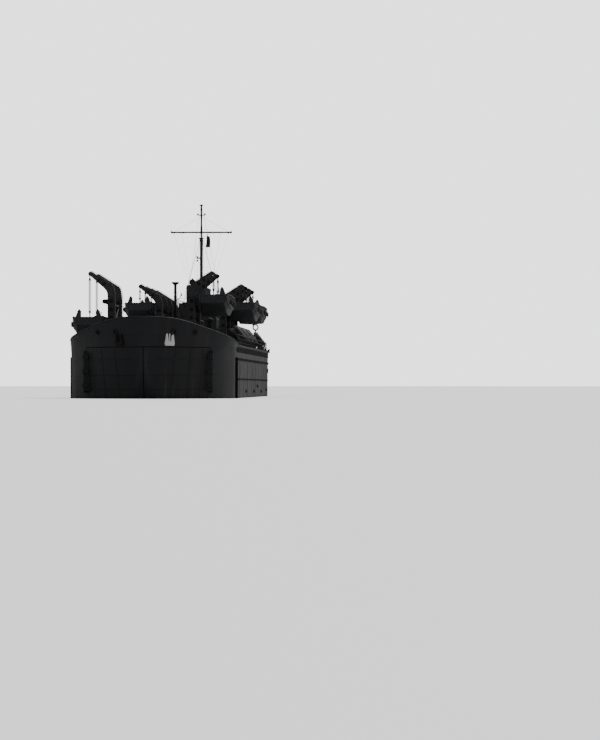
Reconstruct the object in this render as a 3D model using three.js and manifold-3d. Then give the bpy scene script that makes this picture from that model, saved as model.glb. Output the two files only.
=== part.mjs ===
// Tank landing ship at one tenth of its size: 10 m long, 1.524 m in the beam.
// Millimetres. +X is the bow, +Y port, +Z up, with the origin on the keel amidships.
import * as THREE from 'three';
import { mergeVertices } from 'three/addons/utils/BufferGeometryUtils.js';
import Module from 'manifold-3d';

const wasm = await Module();
wasm.setup();

// Driving dimensions
const METRE = 100;                 // one metre of the ship on this model
const LENGTH = 100 * METRE;
const HALF_BEAM = 7.62 * METRE;
const TANK_DECK_Z = 320;
const TANK_ROOF_Z = 710;
const TANK_HALF_WIDTH = 440;
const MAIN_DECK_Z = 767;
const GAP = 0.3;                   // between pieces that rest on one another
const CLEAR = 6;                   // round the pieces that move
const STEM_ROOM_X = 4400;          // after wall of the room behind the bow doors
const STEM_ROOM_TOP_Z = 822;
const SILL_Z = 190;
const DOOR_TOP_Z = 735;
const SHELL = 22;
const BULWARK = 10;
const BOW_OPENING_HALF_WIDTH = 215;
const RAMP = { x: 4415, z: 322, halfWidth: 225, length: 490, thick: 18, barrel: 8 };
const DOOR_HINGE = { x: 4404, out: 14, r: 8, z0: 345, z1: 690 };
const DAVIT_THICK = 34;
const TRACK = { top: 797, halfWidth: 20, outer: 748 };   // rails the davits run out on
const HANG = { u: -12, v: 696, pin: 7 };    // where a boat hangs on its davit
const BOAT = { length: 1100, beam: 325, depth: 200, wall: 14, floor: 45, sill: 120 };
const MAST_X = -3500;
const PROPELLER = { x: -4280, y: 300, z: 112 };
const SHAFT_TUBE = { x0: -4225, x1: -4035, r: 24 };

const stationX = (s) => LENGTH / 2 - s * METRE;

// Materials
const paint = (color, roughness = 0.7, metalness = 0.2) =>
  new THREE.MeshStandardMaterial({ color, roughness, metalness });
const LOOK = {
  hull: paint(0x4a4f55), deck: paint(0x3f4448, 0.85), house: paint(0x565b61),
  davit: paint(0x4d5258), boat: paint(0x5d6268), bare: paint(0x8a7a4c, 0.4, 0.9),
  iron: paint(0x2e3033, 0.8, 0.5), engine: paint(0x5a6a60, 0.5, 0.5),
  buoy: paint(0xd8d4c8, 0.8, 0), flag: paint(0xb0aca0, 0.9, 0),
};

// Solids
const solid = (geometry) => {
  const g = geometry.clone();
  g.deleteAttribute('normal');
  g.deleteAttribute('uv');
  const m = mergeVertices(g, 1e-4);
  const triVerts = m.index ? Uint32Array.from(m.index.array)
    : Uint32Array.from({ length: m.attributes.position.count }, (_, i) => i);
  return new wasm.Manifold(new wasm.Mesh({
    numProp: 3, vertProperties: Float32Array.from(m.attributes.position.array), triVerts,
  }));
};
const toGeometry = (body) => {
  const mesh = body.getMesh();
  const g = new THREE.BufferGeometry();
  g.setAttribute('position', new THREE.BufferAttribute(Float32Array.from(mesh.vertProperties), 3));
  g.setIndex(new THREE.BufferAttribute(Uint32Array.from(mesh.triVerts), 1));
  g.computeVertexNormals();
  return g;
};
const fuse = (...bodies) => bodies.reduce((a, b) => a.add(b));
const box = (x0, x1, y0, y1, z0, z1) => solid(new THREE.BoxGeometry(x1 - x0, y1 - y0, z1 - z0)
  .translate((x0 + x1) / 2, (y0 + y1) / 2, (z0 + z1) / 2));
const TURN = {
  x: new THREE.Matrix4().makeRotationZ(-Math.PI / 2), y: new THREE.Matrix4(),
  z: new THREE.Matrix4().makeRotationX(Math.PI / 2),
};
const rod = (axis, [x, y, z], r, length, sides = 16, r2 = r) => solid(
  new THREE.CylinderGeometry(r2, r, length, sides).applyMatrix4(TURN[axis]).translate(x, y, z));
const upright = ([x, y], r, z0, z1, sides = 16, top = r) =>
  rod('z', [x, y, (z0 + z1) / 2], r, z1 - z0, sides, top);

const extrude = (points, depth) => new THREE.ExtrudeGeometry(
  new THREE.Shape(points.map(([a, b]) => new THREE.Vector2(a, b))),
  { depth, bevelEnabled: false, curveSegments: 8 });
const AXES = {
  x: new THREE.Matrix4().set(0, 0, 1, 0, 1, 0, 0, 0, 0, 1, 0, 0, 0, 0, 0, 1),
  y: new THREE.Matrix4().set(0, 1, 0, 0, 0, 0, 1, 0, 1, 0, 0, 0, 0, 0, 0, 1),
};
// Prisms: across the ship from (y, z) points, along it from (x, z), upward from (x, y)
const prismX = (points, x0, x1) =>
  solid(extrude(points, x1 - x0).applyMatrix4(AXES.x).translate(x0, 0, 0));
const prismY = (points, y0, y1) =>
  solid(extrude(points.map(([x, z]) => [z, x]), y1 - y0).applyMatrix4(AXES.y).translate(0, y0, 0));
const prismZ = (points, z0, z1) => solid(extrude(points, z1 - z0).translate(0, 0, z0));

// A closed body through rings of equal point counts, each ring at its own x
const loft = (rings) => {
  const count = rings[0].length;
  const position = rings.flat(2);
  const index = [];
  for (let i = 0; i + 1 < rings.length; i += 1) {
    for (let j = 0; j < count; j += 1) {
      const a = i * count + j;
      const b = i * count + ((j + 1) % count);
      index.push(a, b, a + count, b, b + count, a + count);
    }
  }
  const flat = rings[0].map(([, y, z]) => new THREE.Vector2(y, z));
  for (const [a, b, c] of THREE.ShapeUtils.triangulateShape(flat, [])) {
    const last = (rings.length - 1) * count;
    index.push(a, c, b, last + a, last + b, last + c);
  }
  const g = new THREE.BufferGeometry();
  g.setAttribute('position', new THREE.BufferAttribute(Float32Array.from(position), 3));
  g.setIndex(index);
  const body = new wasm.Manifold(new wasm.Mesh({
    numProp: 3, vertProperties: Float32Array.from(position), triVerts: Uint32Array.from(index),
  }));
  return body;
};

// Hull sections in metres: s aft of the stem, half-breadths of the flat bottom, waterline,
// knuckle and sheer, and heights of the bottom, knuckle and sheer above the keel
const SECTIONS = [
  // s, bottom, flat, water, knuckle, sheer, zKnuckle, zSheer
  [0.0, 6.40, 0.06, 0.10, 0.16, 0.30, 8.45, 10.05],
  [0.5, 4.20, 0.08, 0.40, 0.95, 1.25, 8.42, 10.03],
  [1.0, 2.95, 0.12, 0.90, 1.65, 2.00, 8.38, 9.98],
  [1.7, 1.80, 0.25, 1.75, 2.45, 2.85, 8.32, 9.86],
  [2.6, 1.20, 0.75, 2.75, 3.30, 3.75, 8.25, 9.64],
  [4.0, 0.95, 1.95, 4.00, 4.45, 4.90, 8.12, 9.26],
  [5.6, 0.83, 3.25, 5.15, 5.45, 5.88, 8.00, 8.90],
  [7.5, 0.72, 4.60, 6.20, 6.40, 6.75, 7.75, 8.56],
  [9.5, 0.62, 5.75, 7.00, 7.08, 7.30, 7.30, 8.30],
  [12, 0.50, 6.50, 7.52, 7.54, 7.60, 6.75, 8.04],
  [16, 0.36, 6.95, 7.60, 7.60, 7.62, 6.45, 7.80],
  [20, 0.25, 7.10, 7.62, 7.62, 7.62, 6.40, 7.67],
  [38, 0.00, 7.20, 7.62, 7.62, 7.62, 6.40, 7.67],
  [78, 0.00, 7.20, 7.62, 7.62, 7.62, 6.40, 7.67],
  [84, 0.02, 6.90, 7.50, 7.54, 7.55, 6.40, 7.67],
  [88, 1.15, 6.40, 7.20, 7.30, 7.35, 6.40, 7.67],
  [91.3, 2.30, 6.00, 6.60, 7.00, 7.05, 6.40, 7.67],
  [95, 2.42, 5.60, 6.10, 6.55, 6.60, 6.40, 7.67],
  [98, 2.50, 5.10, 5.50, 6.05, 6.15, 6.40, 7.67],
  [100, 2.60, 4.50, 4.80, 5.50, 5.60, 6.40, 7.67],
];
const hullRing = ([s, bottom, flat, water, knuckle, sheer, zKnuckle, zSheer], inset, x) => {
  const zWater = Math.max(3.0, bottom + 0.3 * (zKnuckle - bottom));
  const zBilge = bottom + 0.16 * (zWater - bottom);
  const half = [[0, bottom], [flat, bottom], [flat + 0.72 * (water - flat), zBilge],
    [water, zWater], [knuckle, zKnuckle], [sheer, zSheer]];
  const port = half.map(([y, z]) => [Math.max(y * METRE - (y ? inset : 0), y ? 2 : 0), z * METRE]);
  const ring = [...port, [0, zSheer * METRE],
    ...port.slice(1).reverse().map(([y, z]) => [-y, z])];
  return ring.map(([y, z]) => [x, y, z]);
};
// The foremost rings step aft as the shell is set in, so that the stem is as thick as the sides
const hullBody = (inset) => loft(SECTIONS.map((row) => hullRing(row, inset,
  stationX(row[0]) - inset * Math.max(0, 1.6 - row[0] / 4))).reverse());
const halfBreadth = (x, column) => {
  const s = (LENGTH / 2 - x) / METRE;
  const i = Math.max(1, SECTIONS.findIndex((row) => row[0] >= s));
  const t = (s - SECTIONS[i - 1][0]) / (SECTIONS[i][0] - SECTIONS[i - 1][0]);
  return METRE * (SECTIONS[i - 1][column] * (1 - t) + SECTIONS[i][column] * t);
};

const hull = hullBody(0);
const inside = hullBody(SHELL);
const FAR = 6000;
const stemRoom = inside.intersect(box(STEM_ROOM_X, FAR, -900, 900, SILL_Z, STEM_ROOM_TOP_Z));

const ship = new THREE.Group();
const add = (name, body, look, parent = ship) => {
  const mesh = new THREE.Mesh(toGeometry(body), look);
  mesh.name = name;
  parent.add(mesh);
  return mesh;
};
const SIDES = [['port', 1], ['starboard', -1]];
const mirrored = (side, body) => (side > 0 ? body : body.mirror([0, 1, 0]));

// Double bottom, whose top is the tank deck, with the lugs that carry the bow ramp
{
  const lug = prismY([[4380, 280], [4400, 280], [4426, 312], [4426, 332], [4408, 332],
    [4400, 319]], RAMP.halfWidth + CLEAR, RAMP.halfWidth + CLEAR + 20);
  const body = hull.intersect(box(-FAR, FAR, -900, 900, -10, TANK_DECK_Z))
    .subtract(box(STEM_ROOM_X, FAR, -900, 900, SILL_Z, 900));
  add('hull_bottom', fuse(body, lug, mirrored(-1, lug)), LOOK.hull);
}

// Sides of the tank deck, closing in to the bow opening, with the lugs of the bow doors
const doorY = halfBreadth(DOOR_HINGE.x, 4) + 4;
for (const [name, side] of SIDES) {
  const lugs = [[DOOR_HINGE.z0 - 15, DOOR_HINGE.z0 - 0.5], [DOOR_HINGE.z1 + 0.5, DOOR_HINGE.z1 + 15]]
    .map(([z0, z1]) => fuse(box(4366, 4396, doorY - 60, doorY + 22, z0, z1),
      box(4390, 4410, doorY + 8, doorY + 22, z0, z1)));
  const span = fuse(box(-3000, 4152, TANK_HALF_WIDTH, 900, TANK_DECK_Z + GAP, TANK_ROOF_Z),
    box(4150, STEM_ROOM_X, BOW_OPENING_HALF_WIDTH, 900, TANK_DECK_Z + GAP, TANK_ROOF_Z));
  add(`hull_side_${name}`, mirrored(side, fuse(hull.intersect(span), ...lugs)), LOOK.hull);
}

// Stern block over the shafts, with the engine room open to the double bottom
const ENGINE_ROOM = { x0: -3640, x1: -3080, halfWidth: 310, top: 600 };
add('hull_stern', hull.intersect(box(-FAR, -3000 - GAP, -900, 900, TANK_DECK_Z + GAP, TANK_ROOF_Z))
  .subtract(box(ENGINE_ROOM.x0, ENGINE_ROOM.x1, -ENGINE_ROOM.halfWidth, ENGINE_ROOM.halfWidth,
    0, ENGINE_ROOM.top)), LOOK.hull);
for (const [name, side] of SIDES) {
  add(`engine_${name}`, box(-3600, -3140, side * 170 - 75, side * 170 + 75,
    TANK_DECK_Z + GAP, TANK_DECK_Z + 250), LOOK.engine);
}

add('main_deck', hull.intersect(
  box(-FAR, STEM_ROOM_X, -900, 900, TANK_ROOF_Z + GAP, MAIN_DECK_Z)), LOOK.deck);

// Forecastle: a rising deck inside its bulwark, and the shell above the doors
const FORECASTLE_X = 3600;
const FOREDECK = [[FORECASTLE_X, 778], [STEM_ROOM_X, 834], [LENGTH / 2, 852]];   // x, z of its top
const overForedeck = prismY(
  [...FOREDECK, [LENGTH / 2, 2000], [FORECASTLE_X, 2000]], -900, 900);
const onForedeck = (body) => body.intersect(overForedeck.translate([0, 0, GAP]));
{
  const block = fuse(box(FORECASTLE_X, STEM_ROOM_X + 1, -900, 900, MAIN_DECK_Z + GAP, 1200),
    box(STEM_ROOM_X, FAR, -900, 900, DOOR_TOP_Z + CLEAR, 1200));
  const within = hullBody(BULWARK);
  const hollow = fuse(within, within.translate([0, 0, 60])).intersect(overForedeck);
  add('forecastle', hull.intersect(block).subtract(hollow).subtract(stemRoom), LOOK.hull);
}

// Bow doors: the stem shell in two leaves, each with a hinge barrel outside its after edge
for (const [name, side] of SIDES) {
  const leaf = hull.subtract(inside).intersect(
    box(STEM_ROOM_X + CLEAR, FAR, CLEAR / 2, 900, SILL_Z + CLEAR, DOOR_TOP_Z));
  const strap = fuse(
    box(STEM_ROOM_X + CLEAR, 4446, doorY - 70, doorY + DOOR_HINGE.out, DOOR_HINGE.z0, DOOR_HINGE.z1),
    box(DOOR_HINGE.x, 4440, doorY + 8, doorY + DOOR_HINGE.out, DOOR_HINGE.z0, DOOR_HINGE.z1));
  const barrel = upright([DOOR_HINGE.x, doorY + DOOR_HINGE.out], DOOR_HINGE.r,
    DOOR_HINGE.z0, DOOR_HINGE.z1);
  add(`bow_door_${name}`, mirrored(side, fuse(leaf, strap.subtract(inside), barrel)), LOOK.hull);
}

// Bow ramp, standing shut across the opening
add('bow_ramp', fuse(
  box(RAMP.x - RAMP.thick / 2, RAMP.x + RAMP.thick / 2, -RAMP.halfWidth, RAMP.halfWidth,
    RAMP.z, RAMP.z + RAMP.length),
  rod('y', [RAMP.x, 0, RAMP.z], RAMP.barrel, 2 * (RAMP.halfWidth + CLEAR) - 1),
), LOOK.deck);

// Davits: pairs of bent arms on carriages that run out on rails across the deck, each pair
// with its boat. x is the middle of the boat, head how far out the arms' heads stand at rest,
// track where its rails start and keel the height of the boat's keel
const HALF_SPAN = 400;
const DAVITS = [
  { name: 'port_forward', side: 1, x: 2200, head: 475, track: 190, keel: 1062 },
  { name: 'starboard_forward', side: -1, x: 2200, head: 688, track: 190, keel: 850 },
  { name: 'port_middle', side: 1, x: -2100, head: 544, track: 296, keel: 1085 },
  { name: 'starboard_middle', side: -1, x: -2100, head: 544, track: 296, keel: 1085 },
  { name: 'port_after', side: 1, x: -3700, head: 544, track: 296, keel: 1085 },
  { name: 'starboard_after', side: -1, x: -3700, head: 544, track: 296, keel: 1085 },
];
// The arm from u inboard of its head and v above the main deck
const ARM = [[-20, 702], [-12, 714], [4, 718], [18, 712], [201, 596], [218, 574], [230, 515],
  [234, 455], [234, 190], [246, 64], [148, 64], [163, 190], [163, 451], [162, 494], [156, 525],
  [134, 556], [-8, 681], [-18, 686]];
const CARRIAGE = { u: 198, halfLength: 48, halfWidth: 30, top: 66, drop: 777, cheekX: 26 };
const TIES = [[198, 110], [198, 400]];
const armPair = ({ side, head }) => {
  const out = (u) => side * (head - u);
  const outline = ARM.map(([u, v]) => [out(u), MAIN_DECK_Z + v]);
  const seat = out(CARRIAGE.u);
  const arms = [-1, 1].map((end) => {
    const x = end * HALF_SPAN;
    const cheeks = [-1, 1].map((e) => box(x + e * CARRIAGE.cheekX - 4, x + e * CARRIAGE.cheekX + 4,
      seat - CARRIAGE.halfLength,
      seat + CARRIAGE.halfLength, CARRIAGE.drop, TRACK.top + 4));
    return fuse(prismX(outline, x - DAVIT_THICK / 2, x + DAVIT_THICK / 2),
      box(x - CARRIAGE.halfWidth, x + CARRIAGE.halfWidth, seat - CARRIAGE.halfLength,
        seat + CARRIAGE.halfLength, TRACK.top + GAP, MAIN_DECK_Z + CARRIAGE.top),
      ...cheeks,
      rod('x', [end * (HALF_SPAN - 22), out(HANG.u), MAIN_DECK_Z + HANG.v], HANG.pin, 34, 8));
  });
  return fuse(...arms, ...TIES.map(([u, v]) =>
    rod('x', [0, out(u), MAIN_DECK_Z + v], 10, 2 * HALF_SPAN, 8)));
};
const davitBed = ({ side, x, track }) => {
  const [a, b] = [side * track, side * TRACK.outer].sort((p, q) => p - q);
  const floor = MAIN_DECK_Z + GAP;
  const rails = [-1, 1].map((end) => box(x + end * HALF_SPAN - TRACK.halfWidth,
    x + end * HALF_SPAN + TRACK.halfWidth, a, b, floor, TRACK.top));
  const span = side * (track + 12);
  const tie = box(x - HALF_SPAN, x + HALF_SPAN, span - 10, span + 10, floor, floor + 7);
  return fuse(...rails, tie);
};
// Ramped landing boat: a square-ended open shell, its falls made fast to the floor inside
const boatBody = ({ side, x, head, keel }) => {
  const hangY = side * (head - HANG.u);
  const hangZ = MAIN_DECK_Z + HANG.v - keel;
  const { length, beam, depth, wall, floor } = BOAT;
  const ring = (dx, bottom, halfBottom, halfTop, top) => [[0, bottom], [halfBottom, bottom + 6],
    [halfTop, bottom + 0.42 * (top - bottom)], [halfTop + 4, top], [0, top], [-halfTop - 4, top],
    [-halfTop, bottom + 0.42 * (top - bottom)], [-halfBottom, bottom + 6]]
    .map(([y, z]) => [dx, y, z]);
  const b = beam / 2 - 4;
  const shell = loft([
    ring(-length / 2, 38, 0.62 * b, 0.9 * b, depth - 14), ring(-length / 4, 8, 0.78 * b, b, depth - 14),
    ring(length / 8, 0, 0.8 * b, b, depth - 8), ring(0.38 * length, 34, 0.76 * b, 0.97 * b, depth - 2),
    ring(length / 2, 118, 0.7 * b, 0.84 * b, depth),
  ]);
  // the floor of the well rises towards the ramp with the bottom
  const [wellStern, wellRise, wellBow] = [-length / 2 + 150, length / 2 - 150, length / 2 - 40];
  const well = prismY([[wellStern, floor], [wellRise, floor], [wellBow, BOAT.sill], [wellBow, 400],
    [wellStern, 400]], -b + wall + 26, b - wall - 26);
  const posts = [-1, 1].map((e) => prismX([[e * 72, 150], [e * 72, depth + 52], [e * 104, depth + 52],
    [e * 128, depth - 10], [e * 124, 150]], length / 2 - 60, length / 2 - 30));
  const stand = box(-length / 2 + 90, -length / 2 + 150, -30, 62, depth - 20, depth + 30);
  const falls = [-1, 1].map((end) => {
    const fx = end * (HALF_SPAN - 29);
    const sheave = rod('x', [fx, 0, hangZ], 15, 12, 12)
      .subtract(rod('x', [fx, 0, hangZ], HANG.pin + 0.3, 30, 12));
    return fuse(sheave, upright([fx, 0], 5, floor - 4, hangZ - 11, 8));
  });
  return fuse(shell.subtract(well), ...posts, stand, ...falls).translate([x, hangY, keel]);
};
for (const davit of DAVITS) {
  add(`davit_bed_${davit.name}`, davitBed(davit), LOOK.deck);
  add(`davit_arms_${davit.name}`, armPair(davit).translate([davit.x, 0, 0]), LOOK.davit);
  add(`boat_${davit.name}`, boatBody(davit), LOOK.boat);
}

// Superstructure aft, between the davits
const floorZ = MAIN_DECK_Z + GAP;
const LEVEL = [1010, 1250, 1475];
add('deckhouse', fuse(box(-4500, -1500, -290, 290, floorZ, LEVEL[0]),
  box(-4480, -4200, -430, 430, floorZ, LEVEL[0] - 20)), LOOK.house);
add('bridge_house', prismZ([[-4050, -230], [-4050, 230], [-2400, 230], [-2280, 170],
  [-2280, -170], [-2400, -230]], LEVEL[0] + GAP, LEVEL[1]), LOOK.house);
{
  const outline = (inset) => [[-3400 + inset, -112 + inset], [-3400 + inset, 112 - inset],
    [-2590, 112 - inset], [-2540 - inset, 70], [-2540 - inset, -70], [-2590, -112 + inset]];
  const tower = prismZ(outline(0), LEVEL[1] + GAP, LEVEL[2]);
  const well = prismZ(outline(12), LEVEL[2] - 105, LEVEL[2] + 10);
  add('conning_station', tower.subtract(well), LOOK.house);
}
add('signal_lamp', fuse(upright([-2900, 0], 14, LEVEL[2] - 105 + GAP, 1520, 12),
  rod('x', [-2900, 0, 1545], 32, 60, 16)).translate([0, -62, 0]), LOOK.davit);

// Mast with its topmast and yard
add('mast', fuse(
  upright([MAST_X, 0], 17.5, LEVEL[1] + GAP, 2065, 16), upright([MAST_X, 0], 10, 2060, 2425, 12),
  upright([MAST_X, 0], 22, 2425, 2437, 12), box(MAST_X - 6, MAST_X + 6, -45, 45, 2316, 2326),
  box(MAST_X - 26, MAST_X + 26, -26, 26, 2050, 2066),
  rod('y', [MAST_X, 25, 1835], 8, 60, 10).translate([0, -50, 0]),
), LOOK.davit);
const YARD = { x: MAST_X + 19 + GAP, z: 2125, r: 9, length: 690 };
add('yard', fuse(rod('y', [YARD.x, 0, YARD.z], YARD.r, YARD.length, 12),
  ...[-335, 335].map((y) => upright([YARD.x, y], 5, 2112, 2146, 8))), LOOK.davit);
add('exhaust_pipe', fuse(upright([-2000, -192], 15, LEVEL[0] + GAP, 1500, 14),
  upright([-2000, -192], 15, 1488, 1508, 16, 41), upright([-2000, -192], 41, 1508, 1520, 16),
), LOOK.iron);

// Deck fittings
add('cargo_hatch', fuse(box(700, 1500, -210, 210, floorZ, 800), box(690, 1510, -220, 220, 800, 812)),
  LOOK.deck);
add('anchor_windlass', onForedeck(fuse(box(3900, 4080, -130, 130, 790, 848),
  rod('y', [3990, 0, 876], 28, 200, 20), box(3970, 4010, -100, 100, 846, 880))), LOOK.iron);
add('bow_platform', (() => {
  const outer = upright([4560, 0], 120, 930, 1010, 20);
  const leg = upright([4560, 0], 34, 830, 932, 16);
  return onForedeck(fuse(outer.subtract(upright([4560, 0], 110, 940, 1100, 20)), leg));
})(), LOOK.house);
add('stern_platform', (() => {
  const outer = upright([-4680, 0], 130, 930, 1000, 20);
  return fuse(outer.subtract(upright([-4680, 0], 120, 940, 1100, 20)),
    upright([-4680, 0], 70, floorZ, 932, 16));
})(), LOOK.house);
add('stern_anchor_winch', fuse(box(-4960, -4840, -110, 110, floorZ, 790),
  rod('y', [-4900, 0, 826], 36, 190, 20), box(-4925, -4875, -109, -94, 780, 840),
  box(-4925, -4875, 94, 109, 780, 840)), LOOK.iron);

// Running gear: a skeg and shaft tube each side, then the propeller and a rudder on its stock
const STOCK = { x: -4520, r: 11 };
const underHull = hull.translate([0, 0, -GAP - 0.2]);
for (const [name, side] of SIDES) {
  const y = side * PROPELLER.y;
  const skeg = prismY([[-3300, 2], [-4120, 72], [-4215, 96], [-4215, 130], [-4150, 260], [-3300, 200]],
    y - 14, y + 14);
  const tube = rod('x', [(SHAFT_TUBE.x0 + SHAFT_TUBE.x1) / 2, y, PROPELLER.z], SHAFT_TUBE.r,
    SHAFT_TUBE.x1 - SHAFT_TUBE.x0, 20);
  add(`shaft_skeg_${name}`, fuse(skeg, tube).subtract(underHull), LOOK.hull);
  const hub = rod('x', [SHAFT_TUBE.x0 - 0.4 - 95 / 2, y, PROPELLER.z], 22, 95, 16);
  const blades = [0, 1, 2].map((i) => {
    const blade = prismX([[-12, 0], [-42, 48], [-34, 86], [0, 104], [34, 86], [42, 48], [12, 0]], -4, 4)
      .rotate([0, 0, side * 28]).rotate([i * 120, 0, 0]);
    return blade.translate([PROPELLER.x, y, PROPELLER.z]);
  });
  add(`propeller_${name}`, fuse(hub, ...blades), LOOK.bare);
  const blade = prismY([[-4435, 20], [-4455, 8], [-4600, 8], [-4630, 30], [-4630, 196], [-4440, 196]],
    y - 9, y + 9);
  add(`rudder_${name}`, fuse(blade, upright([STOCK.x, y], STOCK.r, 150, 320, 16)).subtract(underHull),
    LOOK.hull);
}

// Anchors: a bower housed each side of the stem over the doors, crown down and flukes beside
// its shank, and one on the transom. Each is drawn facing forward, y across and z up
const SHANK = { half: 6, low: -52, high: 52 };
const FLUKES = [[-42, -58], [42, -58], [48, -40], [38, 34], [28, 46], [20, 22], [15, -22], [0, -32],
  [-15, -22], [-20, 22], [-28, 46], [-38, 34], [-48, -40]];
const FLUKE_DEPTH = 11;
const anchor = (size) => {
  const sized = (points) => points.map(([a, b]) => [a * size, b * size]);
  const { half, low, high } = SHANK;
  return fuse(
    prismX(sized([[-half, low], [half, low], [half, high], [-half, high]]), -half * size, half * size),
    prismX(sized(FLUKES), -FLUKE_DEPTH * size, FLUKE_DEPTH * size));
};
const ANCHOR = { x: 4850, z: 812, turn: 41, size: 1.08 };
for (const [name, side] of SIDES) {
  const skin = halfBreadth(ANCHOR.x, 4);
  const body = anchor(ANCHOR.size).rotate([0, 0, ANCHOR.turn]).translate([ANCHOR.x, skin, ANCHOR.z]);
  add(`anchor_${name}`, mirrored(side, body).subtract(hull.translate([GAP, side * GAP, 0])),
    LOOK.iron);
}
const STERN_ANCHOR = { size: 1.3, z: 640 };
add('stern_anchor', anchor(STERN_ANCHOR.size)
  .translate([-LENGTH / 2 - FLUKE_DEPTH * STERN_ANCHOR.size - GAP, 0, STERN_ANCHOR.z]), LOOK.iron);

// Lifebuoy on a bracket at the port deck edge, and a drooping signal flag below the yard
const BUOY = { x: -1200, y: 717, z: 1014, r: 29, tube: 7, turn: 32, post: 6 };
add('lifebuoy', fuse(solid(new THREE.TorusGeometry(BUOY.r, BUOY.tube, 8, 20)).rotate([90, 0, 0])
  .rotate([0, 0, 90 + BUOY.turn]).translate([BUOY.x, BUOY.y, BUOY.z]),
box(BUOY.x - BUOY.post, BUOY.x + BUOY.post, BUOY.y - BUOY.post, BUOY.y + BUOY.post, floorZ,
  BUOY.z - BUOY.r + 3)), LOOK.buoy);
add('signal_flag', fuse(prismZ([[-12, -11], [10, -13], [14, 0], [8, 12], [-10, 10]], 1955, 2085),
  upright([0, 0], 1.5, 2080, YARD.z - YARD.r - 0.4, 8)).translate([YARD.x, 75, 0]), LOOK.flag);

export default ship;
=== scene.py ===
# Dresses the one-tenth model of a tank landing ship. Lengths are metres of the model unless a
# name ends in M, which is metres of the real ship, ten times larger.
import math

import bmesh
import bpy
import numpy as np
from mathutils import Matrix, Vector


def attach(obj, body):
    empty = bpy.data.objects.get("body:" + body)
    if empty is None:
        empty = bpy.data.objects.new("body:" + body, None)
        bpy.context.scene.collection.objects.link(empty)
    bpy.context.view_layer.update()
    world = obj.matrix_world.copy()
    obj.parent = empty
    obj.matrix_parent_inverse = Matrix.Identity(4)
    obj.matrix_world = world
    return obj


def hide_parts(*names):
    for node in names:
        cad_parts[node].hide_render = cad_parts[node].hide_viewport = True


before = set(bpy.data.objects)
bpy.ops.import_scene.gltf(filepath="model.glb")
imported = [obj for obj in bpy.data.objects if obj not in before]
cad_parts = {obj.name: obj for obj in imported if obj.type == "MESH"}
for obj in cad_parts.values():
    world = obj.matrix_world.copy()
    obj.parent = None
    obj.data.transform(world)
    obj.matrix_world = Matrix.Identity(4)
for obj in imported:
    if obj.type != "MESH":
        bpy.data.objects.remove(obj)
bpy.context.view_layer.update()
print("frame loaded:", len(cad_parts), "nodes")

scale = 0.1
floorZ = 0.275                     # the waterline, above the keel
deckZ = 0.767
upwards = (0, 0, 1)


def atStation(s):
    return 5.0 - s * scale


# Camera first: low down, off the port bow, with a long lens
view = dict(ahead=31.2, toPort=2.42, aboveWater=0.115, turn=1.883, tilt=0.26, pixels=3519.0, long=740.0)


def makeCamera(v):
    data = bpy.data.cameras.new("camera")
    cam = bpy.data.objects.new("camera", data)
    bpy.context.scene.collection.objects.link(cam)
    data.sensor_width = 36.0
    data.lens = v["pixels"] * data.sensor_width / v["long"]
    data.clip_start, data.clip_end = 0.5, 3000.0
    cam.location = (5.0 + v["ahead"], v["toPort"], floorZ + v["aboveWater"])
    turn, tilt = math.radians(v["turn"]), math.radians(v["tilt"])
    ahead = Vector((-math.cos(turn) * math.cos(tilt), -math.sin(turn) * math.cos(tilt), math.sin(tilt)))
    cam.rotation_mode = "QUATERNION"
    cam.rotation_quaternion = ahead.to_track_quat("-Z", "Y")
    bpy.context.scene.camera = cam


makeCamera(view)

# Light: a pale overcast sky, a strong sun behind the port quarter and a soft fill from port
light = dict(sky=2.35, skyFill=0.44, sun=2.2, sunFrom=(-0.62, 0.42, 0.66), sunAngle=5.0)


def makeLight(v):
    world = bpy.data.worlds.new("paleSky")
    bpy.context.scene.world = world
    world.use_nodes = True
    nodes, links = world.node_tree.nodes, world.node_tree.links
    nodes.clear()
    out = nodes.new("ShaderNodeOutputWorld")
    seen, fill = nodes.new("ShaderNodeBackground"), nodes.new("ShaderNodeBackground")
    seen.inputs["Color"].default_value = (v["sky"], v["sky"], v["sky"], 1)
    fill.inputs["Color"].default_value = (v["skyFill"], v["skyFill"], v["skyFill"] * 1.02, 1)
    path, mix = nodes.new("ShaderNodeLightPath"), nodes.new("ShaderNodeMixShader")
    links.new(path.outputs["Is Camera Ray"], mix.inputs[0])
    links.new(fill.outputs[0], mix.inputs[1])
    links.new(seen.outputs[0], mix.inputs[2])
    links.new(mix.outputs[0], out.inputs["Surface"])
    sun = bpy.data.lights.new("sun", "SUN")
    sun.energy, sun.angle = v["sun"], math.radians(v["sunAngle"])
    lamp = bpy.data.objects.new("sun", sun)
    bpy.context.scene.collection.objects.link(lamp)
    lamp.rotation_mode = "QUATERNION"
    lamp.rotation_quaternion = (-Vector(v["sunFrom"])).to_track_quat("-Z", "Y")


makeLight(light)


# Materials. Shared effects are node groups, placed in each paint with its own values
def groupTree(name, ins, outs):
    tree = bpy.data.node_groups.new(name, "ShaderNodeTree")
    for label, kind, value in ins:
        sock = tree.interface.new_socket(label, in_out="INPUT", socket_type=kind)
        if value is not None:
            sock.default_value = value
    for label, kind in outs:
        tree.interface.new_socket(label, in_out="OUTPUT", socket_type=kind)
    return tree, tree.nodes.new("NodeGroupInput"), tree.nodes.new("NodeGroupOutput")


def put(tree, kind, settings=(), **inputs):
    node = tree.nodes.new(kind)
    for key, value in dict(settings).items():
        setattr(node, key, value)
    for key, value in inputs.items():
        sock = node.inputs[int(key[1:])] if key[0] == "i" and key[1:].isdigit() else node.inputs[key]
        if isinstance(value, bpy.types.NodeSocket):
            tree.links.new(value, sock)
        else:
            sock.default_value = value
    return node


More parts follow.
